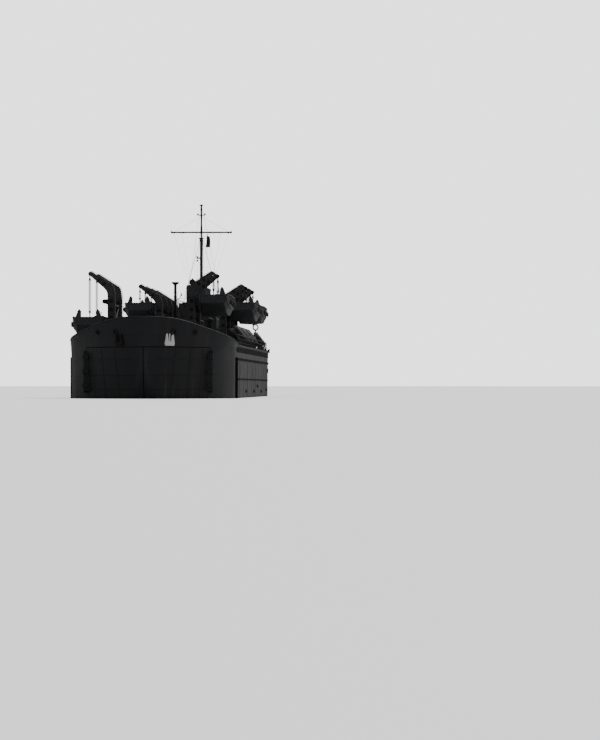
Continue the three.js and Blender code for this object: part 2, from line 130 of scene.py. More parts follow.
def mathNode(tree, operation, a, b=0.5, clamp=False):
    return put(tree, "ShaderNodeMath", dict(operation=operation, use_clamp=clamp), i0=a, i1=b).outputs[0]


def ramp(tree, value, low, high):
    return put(tree, "ShaderNodeMapRange", dict(clamp=True), i0=value, i1=low, i2=high).outputs[0]


def mixColour(tree, factor, a, b):
    node = put(tree, "ShaderNodeMix", dict(data_type="RGBA"))
    for sock, value in ((node.inputs[0], factor), (node.inputs[6], a), (node.inputs[7], b)):
        if isinstance(value, bpy.types.NodeSocket):
            tree.links.new(value, sock)
        else:
            sock.default_value = value
    return node.outputs[2]


def objectPoint(tree, stretch=(1, 1, 1)):
    coords = put(tree, "ShaderNodeTexCoord")
    return put(tree, "ShaderNodeMapping", {}, Vector=coords.outputs["Object"], Scale=stretch).outputs[0]


def buildMottle():
    tree, gin, gout = groupTree("mottle",
                                [("Scale", "NodeSocketFloat", 2.0), ("Amount", "NodeSocketFloat", 0.3)],
                                [("Value", "NodeSocketFloat")])
    point = objectPoint(tree)
    big = put(tree, "ShaderNodeTexNoise", {}, Vector=point, Scale=gin.outputs["Scale"], Detail=6.0)
    small = put(tree, "ShaderNodeTexNoise", {}, Vector=point,
                Scale=mathNode(tree, "MULTIPLY", gin.outputs["Scale"], 9.0), Detail=4.0)
    both = mathNode(tree, "ADD", mathNode(tree, "MULTIPLY", big.outputs[0], 0.65),
                    mathNode(tree, "MULTIPLY", small.outputs[0], 0.35))
    off = mathNode(tree, "MULTIPLY", mathNode(tree, "SUBTRACT", both, 0.5), gin.outputs["Amount"])
    tree.links.new(mathNode(tree, "ADD", off, 0.5), gout.inputs["Value"])
    return tree


def buildStreaks():
    # runs of rust and salt down an upright side: noise drawn out along Z, broken up lengthwise
    tree, gin, gout = groupTree("streaks",
                                [("Density", "NodeSocketFloat", 0.5), ("Scale", "NodeSocketFloat", 9.0)],
                                [("Mask", "NodeSocketFloat")])
    fine = put(tree, "ShaderNodeTexNoise", {}, Vector=objectPoint(tree, (1, 1, 0.06)),
               Scale=gin.outputs["Scale"], Detail=5.0, Roughness=0.62)
    patch = put(tree, "ShaderNodeTexNoise", {}, Vector=objectPoint(tree, (1, 1, 0.5)), Scale=1.1,
                Detail=2.0)
    cut = mathNode(tree, "SUBTRACT", 0.74, mathNode(tree, "MULTIPLY", gin.outputs["Density"], 0.3))
    run = put(tree, "ShaderNodeMapRange", dict(clamp=True), i0=fine.outputs[0], i1=cut,
              i2=mathNode(tree, "ADD", cut, 0.12)).outputs[0]
    mask = mathNode(tree, "MULTIPLY", run, ramp(tree, patch.outputs[0], 0.38, 0.62))
    tree.links.new(mask, gout.inputs["Mask"])
    return tree


def buildEdges():
    # bare metal where corners rub
    tree, gin, gout = groupTree("edges", [("Breakup", "NodeSocketFloat", 30.0)],
                                [("Mask", "NodeSocketFloat")])
    geo = put(tree, "ShaderNodeNewGeometry")
    point = ramp(tree, geo.outputs["Pointiness"], 0.54, 0.64)
    noise = put(tree, "ShaderNodeTexNoise", {}, Vector=objectPoint(tree), Scale=gin.outputs["Breakup"],
                Detail=4.0)
    mask = mathNode(tree, "MULTIPLY", point, ramp(tree, noise.outputs[0], 0.42, 0.6))
    tree.links.new(mask, gout.inputs["Mask"])
    return tree


seams = {"Mortar Size": 0.0022, "Mortar Smooth": 0.3, "Color1": (0.45, 0.45, 0.45, 1),
         "Color2": (0.6, 0.6, 0.6, 1)}


def buildPlating():
    # height of lapped strakes: courses along the ship with staggered butts
    tree, gin, gout = groupTree("plating",
                                [("Course", "NodeSocketFloat", 0.12), ("Length", "NodeSocketFloat", 0.7)],
                                [("Height", "NodeSocketFloat"), ("Seam", "NodeSocketFloat")])
    coords = put(tree, "ShaderNodeTexCoord")
    parts = put(tree, "ShaderNodeSeparateXYZ", {}, Vector=coords.outputs["Object"])
    flat = put(tree, "ShaderNodeCombineXYZ", {}, X=parts.outputs["X"], Y=parts.outputs["Z"], Z=0.0)
    brick = put(tree, "ShaderNodeTexBrick", dict(offset=0.5, squash=1.0), Vector=flat.outputs[0], Scale=1.0)
    for label, value in seams.items():
        brick.inputs[label].default_value = value
    tree.links.new(gin.outputs["Length"], brick.inputs["Brick Width"])
    tree.links.new(gin.outputs["Course"], brick.inputs["Row Height"])
    tree.links.new(brick.outputs["Color"], gout.inputs["Height"])
    tree.links.new(brick.outputs["Fac"], gout.inputs["Seam"])
    return tree


groups = dict(mottle=buildMottle(), streaks=buildStreaks(), edges=buildEdges(), plating=buildPlating())


def placeGroup(tree, name, **inputs):
    node = tree.nodes.new("ShaderNodeGroup")
    node.node_tree = groups[name]
    for key, value in inputs.items():
        node.inputs[key].default_value = value
    return node


# shares of a paint's colour in its dark, pale and seamed places, and how strongly wear shows
wear = dict(dark=0.62, pale=1.5, seam=0.5, seamShare=0.45, rustShare=0.55, saltShare=0.7, wetShare=0.75,
            wet=(0.008, 0.008, 0.009, 1), wetFrom=0.035, wetTo=0.005, rope=(0.12, 0.11, 0.10, 1),
            roughSpan=0.12, bumpDeep=0.004)


def paint(name, colour, rough=0.7, metal=0.0, shine=0.3, worn=1.7, rust=(0.050, 0.032, 0.022),
          mottle=2.0, vary=0.5, streak=0.0, streakScale=9.0, edge=0.3, bump=0.15, plating=0.0, boot=False,
          ropeAbove=None):
    mat = bpy.data.materials.new(name)
    mat.use_nodes = True
    tree = mat.node_tree
    shader = tree.nodes["Principled BSDF"]
    shader.inputs["Metallic"].default_value = metal
    shader.inputs["Specular IOR Level"].default_value = shine
    soft = placeGroup(tree, "mottle", Scale=mottle, Amount=vary).outputs["Value"]
    dark, pale, seam = [tuple(min(1.0, c * wear[key]) for c in colour) + (1,)
                        for key in ("dark", "pale", "seam")]
    rubbed = tuple(min(1.0, c * worn + 0.01) for c in colour) + (1,)
    base = mixColour(tree, soft, dark, pale)
    if plating:
        plates = placeGroup(tree, "plating")
        tint = mathNode(tree, "MULTIPLY", plates.outputs["Seam"], wear["seamShare"])
        base = mixColour(tree, tint, base, seam)
    if boot:
        height = put(tree, "ShaderNodeSeparateXYZ", {}, Vector=objectPoint(tree)).outputs["Z"]
        wet = put(tree, "ShaderNodeMapRange", dict(clamp=True), i0=height, i1=floorZ + wear["wetFrom"],
                  i2=floorZ + wear["wetTo"], i3=0.0, i4=wear["wetShare"])
        base = mixColour(tree, wet.outputs[0], base, wear["wet"])
    if streak:
        mask = placeGroup(tree, "streaks", Density=streak, Scale=streakScale).outputs["Mask"]
        base = mixColour(tree, mathNode(tree, "MULTIPLY", mask, wear["rustShare"]), base, rust + (1,))
        salt = placeGroup(tree, "streaks", Density=streak * 0.9, Scale=streakScale * 1.7).outputs["Mask"]
        base = mixColour(tree, mathNode(tree, "MULTIPLY", salt, wear["saltShare"]), base, rubbed)
    if edge:
        rub = placeGroup(tree, "edges").outputs["Mask"]
        base = mixColour(tree, mathNode(tree, "MULTIPLY", rub, edge), base, rubbed)
    if ropeAbove:
        height = put(tree, "ShaderNodeSeparateXYZ", {}, Vector=objectPoint(tree)).outputs["Z"]
        rope = ramp(tree, height, ropeAbove - 0.004, ropeAbove + 0.004)
        base = mixColour(tree, rope, base, wear["rope"])
    tree.links.new(base, shader.inputs["Base Color"])
    roughness = put(tree, "ShaderNodeMapRange", dict(clamp=True), i0=soft, i1=0.3, i2=0.7,
                    i3=max(0.05, rough - wear["roughSpan"]), i4=min(1.0, rough + wear["roughSpan"]))
    tree.links.new(roughness.outputs[0], shader.inputs["Roughness"])
    fine = placeGroup(tree, "mottle", Scale=mottle * 14, Amount=1.0).outputs["Value"]
    height = fine
    if plating:
        height = mathNode(tree, "ADD", mathNode(tree, "MULTIPLY", fine, 0.2),
                          mathNode(tree, "MULTIPLY", plates.outputs["Height"], plating))
    lift = put(tree, "ShaderNodeBump", {}, Height=height, Strength=bump, Distance=wear["bumpDeep"])
    tree.links.new(lift.outputs[0], shader.inputs["Normal"])
    return mat


finishes = dict(hull=dict(colour=(0.0195, 0.0205, 0.0220), rough=0.62, shine=0.18, streak=0.8, worn=2.8,
                          plating=1.0, bump=0.3, boot=True, vary=0.9, edge=0.15),
                deck=dict(colour=(0.0260, 0.0270, 0.0285), rough=0.85, shine=0.2, mottle=3.5, vary=1.0,
                          edge=0.2),
                house=dict(colour=(0.0420, 0.0435, 0.0460), rough=0.68, streak=0.45, streakScale=16.0,
                           mottle=4.0, vary=0.8),
                davit=dict(colour=(0.0400, 0.0414, 0.0440), rough=0.6, streak=0.35, streakScale=22.0,
                           mottle=5.0, vary=0.9),
                mast=dict(colour=(0.0200, 0.0205, 0.0220), rough=0.6, mottle=3.0, vary=0.5, edge=0.0,
                          bump=0.04),
                boat=dict(colour=(0.0440, 0.0455, 0.0485), rough=0.65, streak=0.45, streakScale=20.0,
                          mottle=5.0, vary=0.9),
                iron=dict(colour=(0.0130, 0.0130, 0.0135), rough=0.72, metal=0.25, streak=0.3,
                          streakScale=18.0, mottle=8.0),
                # near-black finish of the rubbing strakes, which also paints the shade on the guard plate
                # below the deck edge
                tar=dict(colour=(0.0060, 0.0060, 0.0062), rough=0.92, shine=0.04, mottle=6.0, edge=0.0),
                engine=dict(colour=(0.10, 0.13, 0.11), rough=0.45),
                bronze=dict(colour=(0.30, 0.21, 0.09), rough=0.38, metal=0.9, mottle=9.0, worn=1.4),
                # pale finish that paints a highlight on the port anchor; its starboard twin stays dark iron
                paintedHighlight=dict(colour=(0.80, 0.80, 0.78), rough=0.6, mottle=14.0, streak=0.2, streakScale=30.0,
                          worn=1.1),
                wire=dict(colour=(0.024, 0.024, 0.024), rough=0.6, metal=0.3, mottle=30.0, edge=0.0),
                manila=dict(colour=(0.060, 0.052, 0.040), rough=0.9, mottle=40.0, edge=0.0, bump=0.5),
                canvas=dict(colour=(0.150, 0.148, 0.140), rough=0.85, mottle=25.0, edge=0.0),
                bunting=dict(colour=(0.055, 0.052, 0.050), rough=0.9, mottle=12.0, vary=1.0, edge=0.0),
                timber=dict(colour=(0.070, 0.064, 0.056), rough=0.85, mottle=14.0, vary=1.0, edge=0.2),
                glass=dict(colour=(0.02, 0.022, 0.024), rough=0.12, shine=0.5, mottle=3.0, edge=0.0,
                           bump=0.02))
looks = {key: paint(key + "Finish", **values) for key, values in finishes.items()}
# the solids of the CAD model take the same finishes without rubbed edges, which need a bevelled mesh
solidLooks = {key: paint(key + "Solid", **dict(finishes[key], edge=0.0))
              for key in ("hull", "deck", "house", "davit", "mast", "iron", "bronze", "engine", "paintedHighlight",
                          "canvas", "bunting")}
ropeHigh = 0.262                    # where the solid boats' falls begin, above the keel
for keelZ in (0.850, 1.062, 1.085):
    boatPaint = dict(finishes["boat"], edge=0.0, ropeAbove=keelZ + ropeHigh)
    solidLooks[f"boat{keelZ}"] = paint(f"boatSolid{int(keelZ * 1000)}", **boatPaint)
print("materials made:", len(looks) + len(solidLooks))


# Mesh helpers: each adds closed forms to a bmesh, in the frame of the CAD model
def addForm(bm, points, faces):
    verts = [bm.verts.new(p) for p in points]
    for face in faces:
        bm.faces.new([verts[i] for i in face])
    return verts


def addBox(bm, lo, hi):
    (x0, y0, z0), (x1, y1, z1) = lo, hi
    points = [(x, y, z) for x in (x0, x1) for y in (y0, y1) for z in (z0, z1)]
    return addForm(bm, points,
                   [(0, 1, 3, 2), (4, 6, 7, 5), (0, 4, 5, 1), (2, 3, 7, 6), (0, 2, 6, 4), (1, 5, 7, 3)])


def addSideBox(bm, side, xs, ys, zs):
    # a box on one side of the ship: its ys are distances from the centreline
    lo, hi = sorted((side * ys[0], side * ys[1]))
    addBox(bm, (xs[0], lo, zs[0]), (xs[1], hi, zs[1]))


def addTube(bm, path, radius, sides=6, closed=False):
    path = [Vector(p) for p in path]
    count = len(path)
    turn, rings = None, []
    for i, p in enumerate(path):
        before = path[i - 1] if i or closed else p
        after = path[(i + 1) % count] if i + 1 < count or closed else p
        along = (after - before).normalized()
        if turn is None:
            turn = along.orthogonal().normalized()
        turn = (turn - along * turn.dot(along)).normalized()
        other = along.cross(turn)
        r = radius[i] if isinstance(radius, (list, tuple)) else radius
        rings.append([p + (turn * math.cos(a) + other * math.sin(a)) * r
                      for a in (2 * math.pi * k / sides for k in range(sides))])
    steps = count if closed else count - 1
    faces = [(i * sides + k, i * sides + (k + 1) % sides, (i + 1) % count * sides + (k + 1) % sides,
              (i + 1) % count * sides + k) for i in range(steps) for k in range(sides)]
    if not closed:
        faces += [tuple(range(sides))[::-1], tuple((count - 1) * sides + k for k in range(sides))]
    addForm(bm, [p for ring in rings for p in ring], faces)


def addTurned(bm, centre, axis, profile, sides=16):
    # profile: (distance along the axis, radius) from end to end
    axis = Vector(axis).normalized()
    path = [Vector(centre) + axis * d for d, r in profile]
    turn = axis.orthogonal().normalized()
    other = axis.cross(turn)
    points = [p + (turn * math.cos(a) + other * math.sin(a)) * max(r, 1e-4)
              for p, (d, r) in zip(path, profile) for a in (2 * math.pi * k / sides for k in range(sides))]
    faces = [(i * sides + k, i * sides + (k + 1) % sides, (i + 1) * sides + (k + 1) % sides,
              (i + 1) * sides + k) for i in range(len(profile) - 1) for k in range(sides)]
    faces += [tuple(range(sides))[::-1], tuple((len(profile) - 1) * sides + k for k in range(sides))]
    addForm(bm, points, faces)


def addPlate(bm, outline, push):
    # a flat outline of points in order, pushed out by a vector
    push, count = Vector(push), len(outline)
    points = [Vector(p) for p in outline] + [Vector(p) + push for p in outline]
    faces = [tuple(range(count))[::-1], tuple(range(count, 2 * count))]
    faces += [(i, (i + 1) % count, count + (i + 1) % count, count + i) for i in range(count)]
    addForm(bm, points, faces)


def addStrip(bm, edges):
    # a closed run of quads from one four-cornered section to the next
    faces = [(4 * i + k, 4 * i + (k + 1) % 4, 4 * i + 4 + (k + 1) % 4, 4 * i + 4 + k)
             for i in range(len(edges) - 1) for k in range(4)]
    last = 4 * (len(edges) - 1)
    addForm(bm, [p for e in edges for p in e], faces + [(3, 2, 1, 0), (last, last + 1, last + 2, last + 3)])


def finishPiece(bm, name, look, body="ship", bevel=0.0, angle=35):
    bmesh.ops.recalc_face_normals(bm, faces=bm.faces[:])
    mesh = bpy.data.meshes.new(name)
    bm.to_mesh(mesh)
    bm.free()
    mesh.polygons.foreach_set("use_smooth", [True] * len(mesh.polygons))
    mesh.set_sharp_from_angle(angle=math.radians(angle))
    mesh.materials.append(looks[look])
    obj = bpy.data.objects.new(name, mesh)
    bpy.context.scene.collection.objects.link(obj)
    if bevel:
        cut = obj.modifiers.new("roundedEdges", "BEVEL")
        cut.width, cut.segments, cut.limit_method, cut.angle_limit = bevel, 2, "ANGLE", math.radians(40)
        cut.harden_normals = False
    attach(obj, body)
    return obj


# Hull sections in real metres, as in the part: s aft of the stem, half-breadths of the flat
# bottom, waterline, knuckle and sheer, and heights of the bottom, knuckle and sheer
hullRows = np.array([
    [0.0, 6.40, 0.06, 0.10, 0.16, 0.30, 8.45, 10.05], [0.5, 4.20, 0.08, 0.40, 0.95, 1.25, 8.42, 10.03],
    [1.0, 2.95, 0.12, 0.90, 1.65, 2.00, 8.38, 9.98], [1.7, 1.80, 0.25, 1.75, 2.45, 2.85, 8.32, 9.86],
    [2.6, 1.20, 0.75, 2.75, 3.30, 3.75, 8.25, 9.64], [4.0, 0.95, 1.95, 4.00, 4.45, 4.90, 8.12, 9.26],
    [5.6, 0.83, 3.25, 5.15, 5.45, 5.88, 8.00, 8.90], [7.5, 0.72, 4.60, 6.20, 6.40, 6.75, 7.75, 8.56],
    [9.5, 0.62, 5.75, 7.00, 7.08, 7.30, 7.30, 8.30], [12, 0.50, 6.50, 7.52, 7.54, 7.60, 6.75, 8.04],
    [16, 0.36, 6.95, 7.60, 7.60, 7.62, 6.45, 7.80], [20, 0.25, 7.10, 7.62, 7.62, 7.62, 6.40, 7.67],
    [38, 0.00, 7.20, 7.62, 7.62, 7.62, 6.40, 7.67], [78, 0.00, 7.20, 7.62, 7.62, 7.62, 6.40, 7.67],
    [84, 0.02, 6.90, 7.50, 7.54, 7.55, 6.40, 7.67], [88, 1.15, 6.40, 7.20, 7.30, 7.35, 6.40, 7.67],
    [91.3, 2.30, 6.00, 6.60, 7.00, 7.05, 6.40, 7.67], [95, 2.42, 5.60, 6.10, 6.55, 6.60, 6.40, 7.67],
    [98, 2.50, 5.10, 5.50, 6.05, 6.15, 6.40, 7.67], [100, 2.60, 4.50, 4.80, 5.50, 5.60, 6.40, 7.67]])
skin = dict(outM=0.024, inM=0.03, aftOfDoors=6.0, doorEnd=5.90, doorLow=1.96, doorHigh=7.35,
            aboveDoors=7.41, sill=1.9, rows=22, flareRows=5)


def slopesFor(x, y):
    # slopes of a smooth curve that never overshoots its points
    step, rise = np.diff(x), np.diff(y, axis=0) / np.diff(x)[:, None]
    slope = np.zeros_like(y)
    slope[0], slope[-1] = rise[0], rise[-1]
    same = rise[:-1] * rise[1:] > 0
    weightA, weightB = (2 * step[1:] + step[:-1])[:, None], (step[1:] + 2 * step[:-1])[:, None]
    with np.errstate(divide="ignore", invalid="ignore"):
        mean = (weightA + weightB) / (weightA / rise[:-1] + weightB / rise[1:])
    slope[1:-1] = np.where(same, mean, 0.0)
    return slope


rowSlopes = slopesFor(hullRows[:, 0], hullRows[:, 1:])


def hullRow(s, smooth=True):
    i = min(max(int(np.searchsorted(hullRows[:, 0], s)) - 1, 0), len(hullRows) - 2)
    s0, s1 = hullRows[i, 0], hullRows[i + 1, 0]
    t = min(max((s - s0) / (s1 - s0), 0.0), 1.0)
    a, b = hullRows[i, 1:], hullRows[i + 1, 1:]
    if not smooth:
        return a + (b - a) * t
    h = s1 - s0
    return ((2 * t**3 - 3 * t**2 + 1) * a + (t**3 - 2 * t**2 + t) * h * rowSlopes[i]
            + (3 * t**2 - 2 * t**3) * b + (t**3 - t**2) * h * rowSlopes[i + 1])


def bilgeCurve(a, b, leave, arrive, steps):
    a, b = np.array(a), np.array(b)
    reach = np.linalg.norm(b - a)
    leave, arrive = np.array(leave) * reach, np.array(arrive) * reach
    for t in np.linspace(0, 1, steps, endpoint=False):
        yield ((2 * t**3 - 3 * t**2 + 1) * a + (t**3 - 2 * t**2 + t) * leave
               + (3 * t**2 - 2 * t**3) * b + (t**3 - t**2) * arrive)


def sectionLine(s, smooth=True):
    # (half-breadth, height) from the keel to the knuckle, then the sheer
    bottom, flat, water, knuckle, sheer, zKnuckle, zSheer = hullRow(s, smooth)
    zWater = max(3.0, bottom + 0.3 * (zKnuckle - bottom))
    bilge = (flat + 0.72 * (water - flat), bottom + 0.16 * (zWater - bottom))
    if not smooth:
        side = [(0, bottom), (flat, bottom), bilge, (water, zWater), (knuckle, zKnuckle)]
        return np.array(side), (sheer, zSheer)
    unit = lambda p: np.array(p) / max(np.linalg.norm(p), 1e-6)
    upSide = unit((knuckle - water, zKnuckle - zWater))
    middle = unit((water - flat, zWater - bottom))
    line = [(0, bottom), (flat * 0.5, bottom)]
    line += list(bilgeCurve((flat, bottom), bilge, unit((1, 0.05)), middle, 6))
    line += list(bilgeCurve(bilge, (water, zWater), middle, upSide, 6))
    line += [(water, zWater), (knuckle, zKnuckle)]
    return np.array(line), (sheer, zSheer)


def betweenHeights(line, low, high, count):
    # the part of a section line between two heights, as evenly spaced points
    z = np.maximum.accumulate(line[:, 1] + np.arange(len(line)) * 1e-7)
    low, high = max(low, z[0]), min(high, z[-1])
    keep = (z > low) & (z < high)
    cut = np.vstack([[np.interp(low, z, line[:, 0]), low], line[keep],
                     [np.interp(high, z, line[:, 0]), high]])
    along = np.concatenate([[0], np.cumsum(np.linalg.norm(np.diff(cut, axis=0), axis=1))])
    spots = np.linspace(0, along[-1], count)
    return np.stack([np.interp(spots, along, cut[:, 0]), np.interp(spots, along, cut[:, 1])], 1)


def sectionPoints(s, low, high, rows, flareRows, smooth):
    line, sheer = sectionLine(s, smooth)
    points = betweenHeights(line, low, high, rows) if rows else np.zeros((0, 2))
    if flareRows:
        top, start = np.array(sheer), line[-1]
        flare = [start + (top - start) * t for t in np.linspace(0, 1, flareRows + 1)]
        points = np.vstack([points[:-1], flare]) if rows else np.array(flare)
    return points


def addSkin(bm, side, stations, low, high, rows, flareRows, least):
    # a closed thin plate over the hull, its outside on the smooth form and its inside in the CAD solid
    outer, inner = [np.array([[(s, y, z) for y, z in sectionPoints(s, low, high, rows, flareRows, smooth)]
                              for s in stations]) for smooth in (True, False)]
    du, dv = np.gradient(outer, axis=0), np.gradient(outer, axis=1)
    normal = np.cross(dv, du)
    normal /= np.maximum(np.linalg.norm(normal, axis=2, keepdims=True), 1e-9)
    normal *= np.where(normal[:, :, 1:2] + 0.001 - 0.4 * (normal[:, :, 2:3] > 0) < 0, -1, 1)
    normal[:, :, 2] = np.where(normal[:, :, 2] > 0.5, 0, normal[:, :, 2])
    outer = outer + normal * skin["outM"]
    inner[:, :, 1] = np.maximum(inner[:, :, 1] - skin["inM"], 0)
    outer[:, :, 1], inner[:, :, 1] = np.maximum(outer[:, :, 1], least), np.maximum(inner[:, :, 1], least)
    outer[:, :, 0], inner[:, :, 0] = np.maximum(outer[:, :, 0], 0), np.maximum(inner[:, :, 0], 0.03)
    ns, nr = outer.shape[:2]
    place = lambda p: (atStation(p[0]), side * p[1] * scale, p[2] * scale)
    points = [place(p) for grid in (outer, inner) for line in grid for p in line]
    far = ns * nr
    faces = []
    for i in range(ns - 1):
        for j in range(nr - 1):
            a, b, c, d = i * nr + j, (i + 1) * nr + j, (i + 1) * nr + j + 1, i * nr + j + 1
            faces += [(a, b, c, d), (far + d, far + c, far + b, far + a)]
        faces += [(i * nr, far + i * nr, far + (i + 1) * nr, (i + 1) * nr),
                  (i * nr + nr - 1, (i + 1) * nr + nr - 1, far + (i + 1) * nr + nr - 1,
                   far + i * nr + nr - 1)]
    for j in range(nr - 1):
        end = (ns - 1) * nr
        faces += [(j, j + 1, far + j + 1, far + j), (end + j, far + end + j, far + end + j + 1, end + j + 1)]
    addForm(bm, points, faces)


afterStations = np.concatenate([np.linspace(skin["aftOfDoors"], 20, 36), np.linspace(20.8, 38, 14),
                                np.linspace(40, 78, 16), np.linspace(79, 100, 32)])
foreStations = np.concatenate([np.linspace(0, 1.6, 14), np.linspace(1.75, skin["doorEnd"], 22)])
foreEnd = np.append(foreStations, skin["aftOfDoors"])
lowest = [s for s in foreEnd if hullRow(s)[0] < skin["sill"] - 0.12]
sides = (("port", 1), ("starboard", -1))
# name, body, stations, low and high edge, rows below and above the knuckle, least half-breadth
plating = [("shell_plating", "ship", afterStations, 0, 99, skin["rows"], skin["flareRows"], 0.0),
           ("bow_plating", "ship", foreEnd, skin["aboveDoors"], 99, 6, skin["flareRows"], 0.0),
           ("door_plating", "bow_door_", foreStations, skin["doorLow"], skin["doorHigh"], 20, 0, 0.032),
           ("forefoot_plating", "ship", lowest, 0, skin["sill"] - 0.02, 10, 0, 0.0)]
for sideName, side in sides:
    for name, body, *form in plating:
        bm = bmesh.new()
        addSkin(bm, side, *form)
        finishPiece(bm, f"{name}_{sideName}", "hull", body + sideName if body[-1] == "_" else body, angle=28)
print("hull plated")


def sideY(s, zM):
    line, sheer = sectionLine(s)
    points = np.vstack([line, [sheer]])
    z = np.maximum.accumulate(points[:, 1] + np.arange(len(points)) * 1e-7)
    return float(np.interp(zM, z, points[:, 0]))


def onHull(s, zM, side, out=0.0):
    # a point on the plating, moved out along its normal
    here = np.array([s, sideY(s, zM), zM])
    along = np.array([0.2, sideY(s + 0.2, zM) - here[1], 0.0])
    up = np.array([0.0, sideY(s, zM + 0.15) - here[1], 0.15])
    normal = np.cross(up, along)
    normal /= np.linalg.norm(normal)
    if normal[1] < 0:
        normal = -normal
    p = here + normal * (skin["outM"] + out / scale)
    return Vector((atStation(p[0]), side * p[1] * scale, p[2] * scale))


def deckEdge(s, inM=0.0):
    return (float(hullRow(s)[4]) - inM) * scale


def addRaised(bm, side, run, across, foot, top, out, sink=-0.004):
    # a raised strip along (s, zM, growth) spots of the hull: foot and top are half its widths
    edges = [[onHull(s + across[0] * w * grow, zM + across[1] * w * grow, side, deep)
              for w, deep in ((-foot, sink), (-top, out * grow), (top, out * grow), (foot, sink))]
             for s, zM, grow in run]
    addStrip(bm, edges)


def addOnHull(bm, side, s, zM, depth, profile, count):
    # a turned fitting on the plating, let in by a part of a centimetre; gives its place and way out
    centre = onHull(s, zM, side)
    out = onHull(s, zM, side, 0.01) - centre
    addTurned(bm, centre - out * depth, out, profile, count)
    return centre, out


upright, lengthwise = (1, 0), (0, 1)        # how a raised strip's width lies on the hull: (s, zM)
# strakes: (from, to, count) of stations and height in real metres, then width and how far out;
# guards: station and width in real metres
# the last strake is the guard plate, a near-black band that paints the shade under the deck edge
edging = dict(capRadius=0.0065, stayGap=0.105, staySize=0.045,
              strakes=(((12.2, 97, 90), 6.42, 0.022, 0.009), ((14.0, 90, 80), 4.55, 0.014, 0.006),
                       ((12.6, 98, 90), 7.30, 0.060, 0.003)), guards=((12.6, 0.55), (12.6 + 1.1, 0.18)),
              guardOut=0.014)
# straps at stations with half their widths at foot and top; plates (from, to, low, high), all in real metres
doublers = dict(straps=(18.5, 26.4, 34.2, 42.6, 50.8, 58.9, 67.3, 75.6, 83.0), strapHalf=(0.14, 0.12),
                plates=((21, 25, 4.9, 6.0), (45, 49.5, 4.8, 6.1), (70, 73, 4.9, 6.0)), lap=0.04)
sideLights = dict(row=(79.5, 81.5, 84.2, 86.0, 88.6, 91.5, 94.0), rowZ=5.55, browRadius=0.027,
                  low=((47.0, 3.4), (63.5, 3.35), (77.0, 3.5), (30.5, 3.4), (55.2, 3.9)),
                  rim=[(0, 0.021), (0.007, 0.021), (0.0095, 0.0185), (0.0095, 0.0145), (0.0055, 0.0135),
                       (0.0055, 0.001)],
                  outlet=[(0, 0.017), (0.012, 0.017), (0.016, 0.013), (0.016, 0.009), (0.006, 0.008),
                          (0.006, 0.001)])
hawse = dict(spots=((1.72, 8.72, 0.026), (3.6, 8.75, 0.02)))
doorFit = dict(bands=(3.6, 4.9, 6.3), posts=(2.2, 3.6, 4.9), half=(0.06, 0.035), out=0.0035,
               hinges=(3.95, 5.2, 6.5), hingeX=4.404, pinY=0.581, lug=(0.540, 0.594))
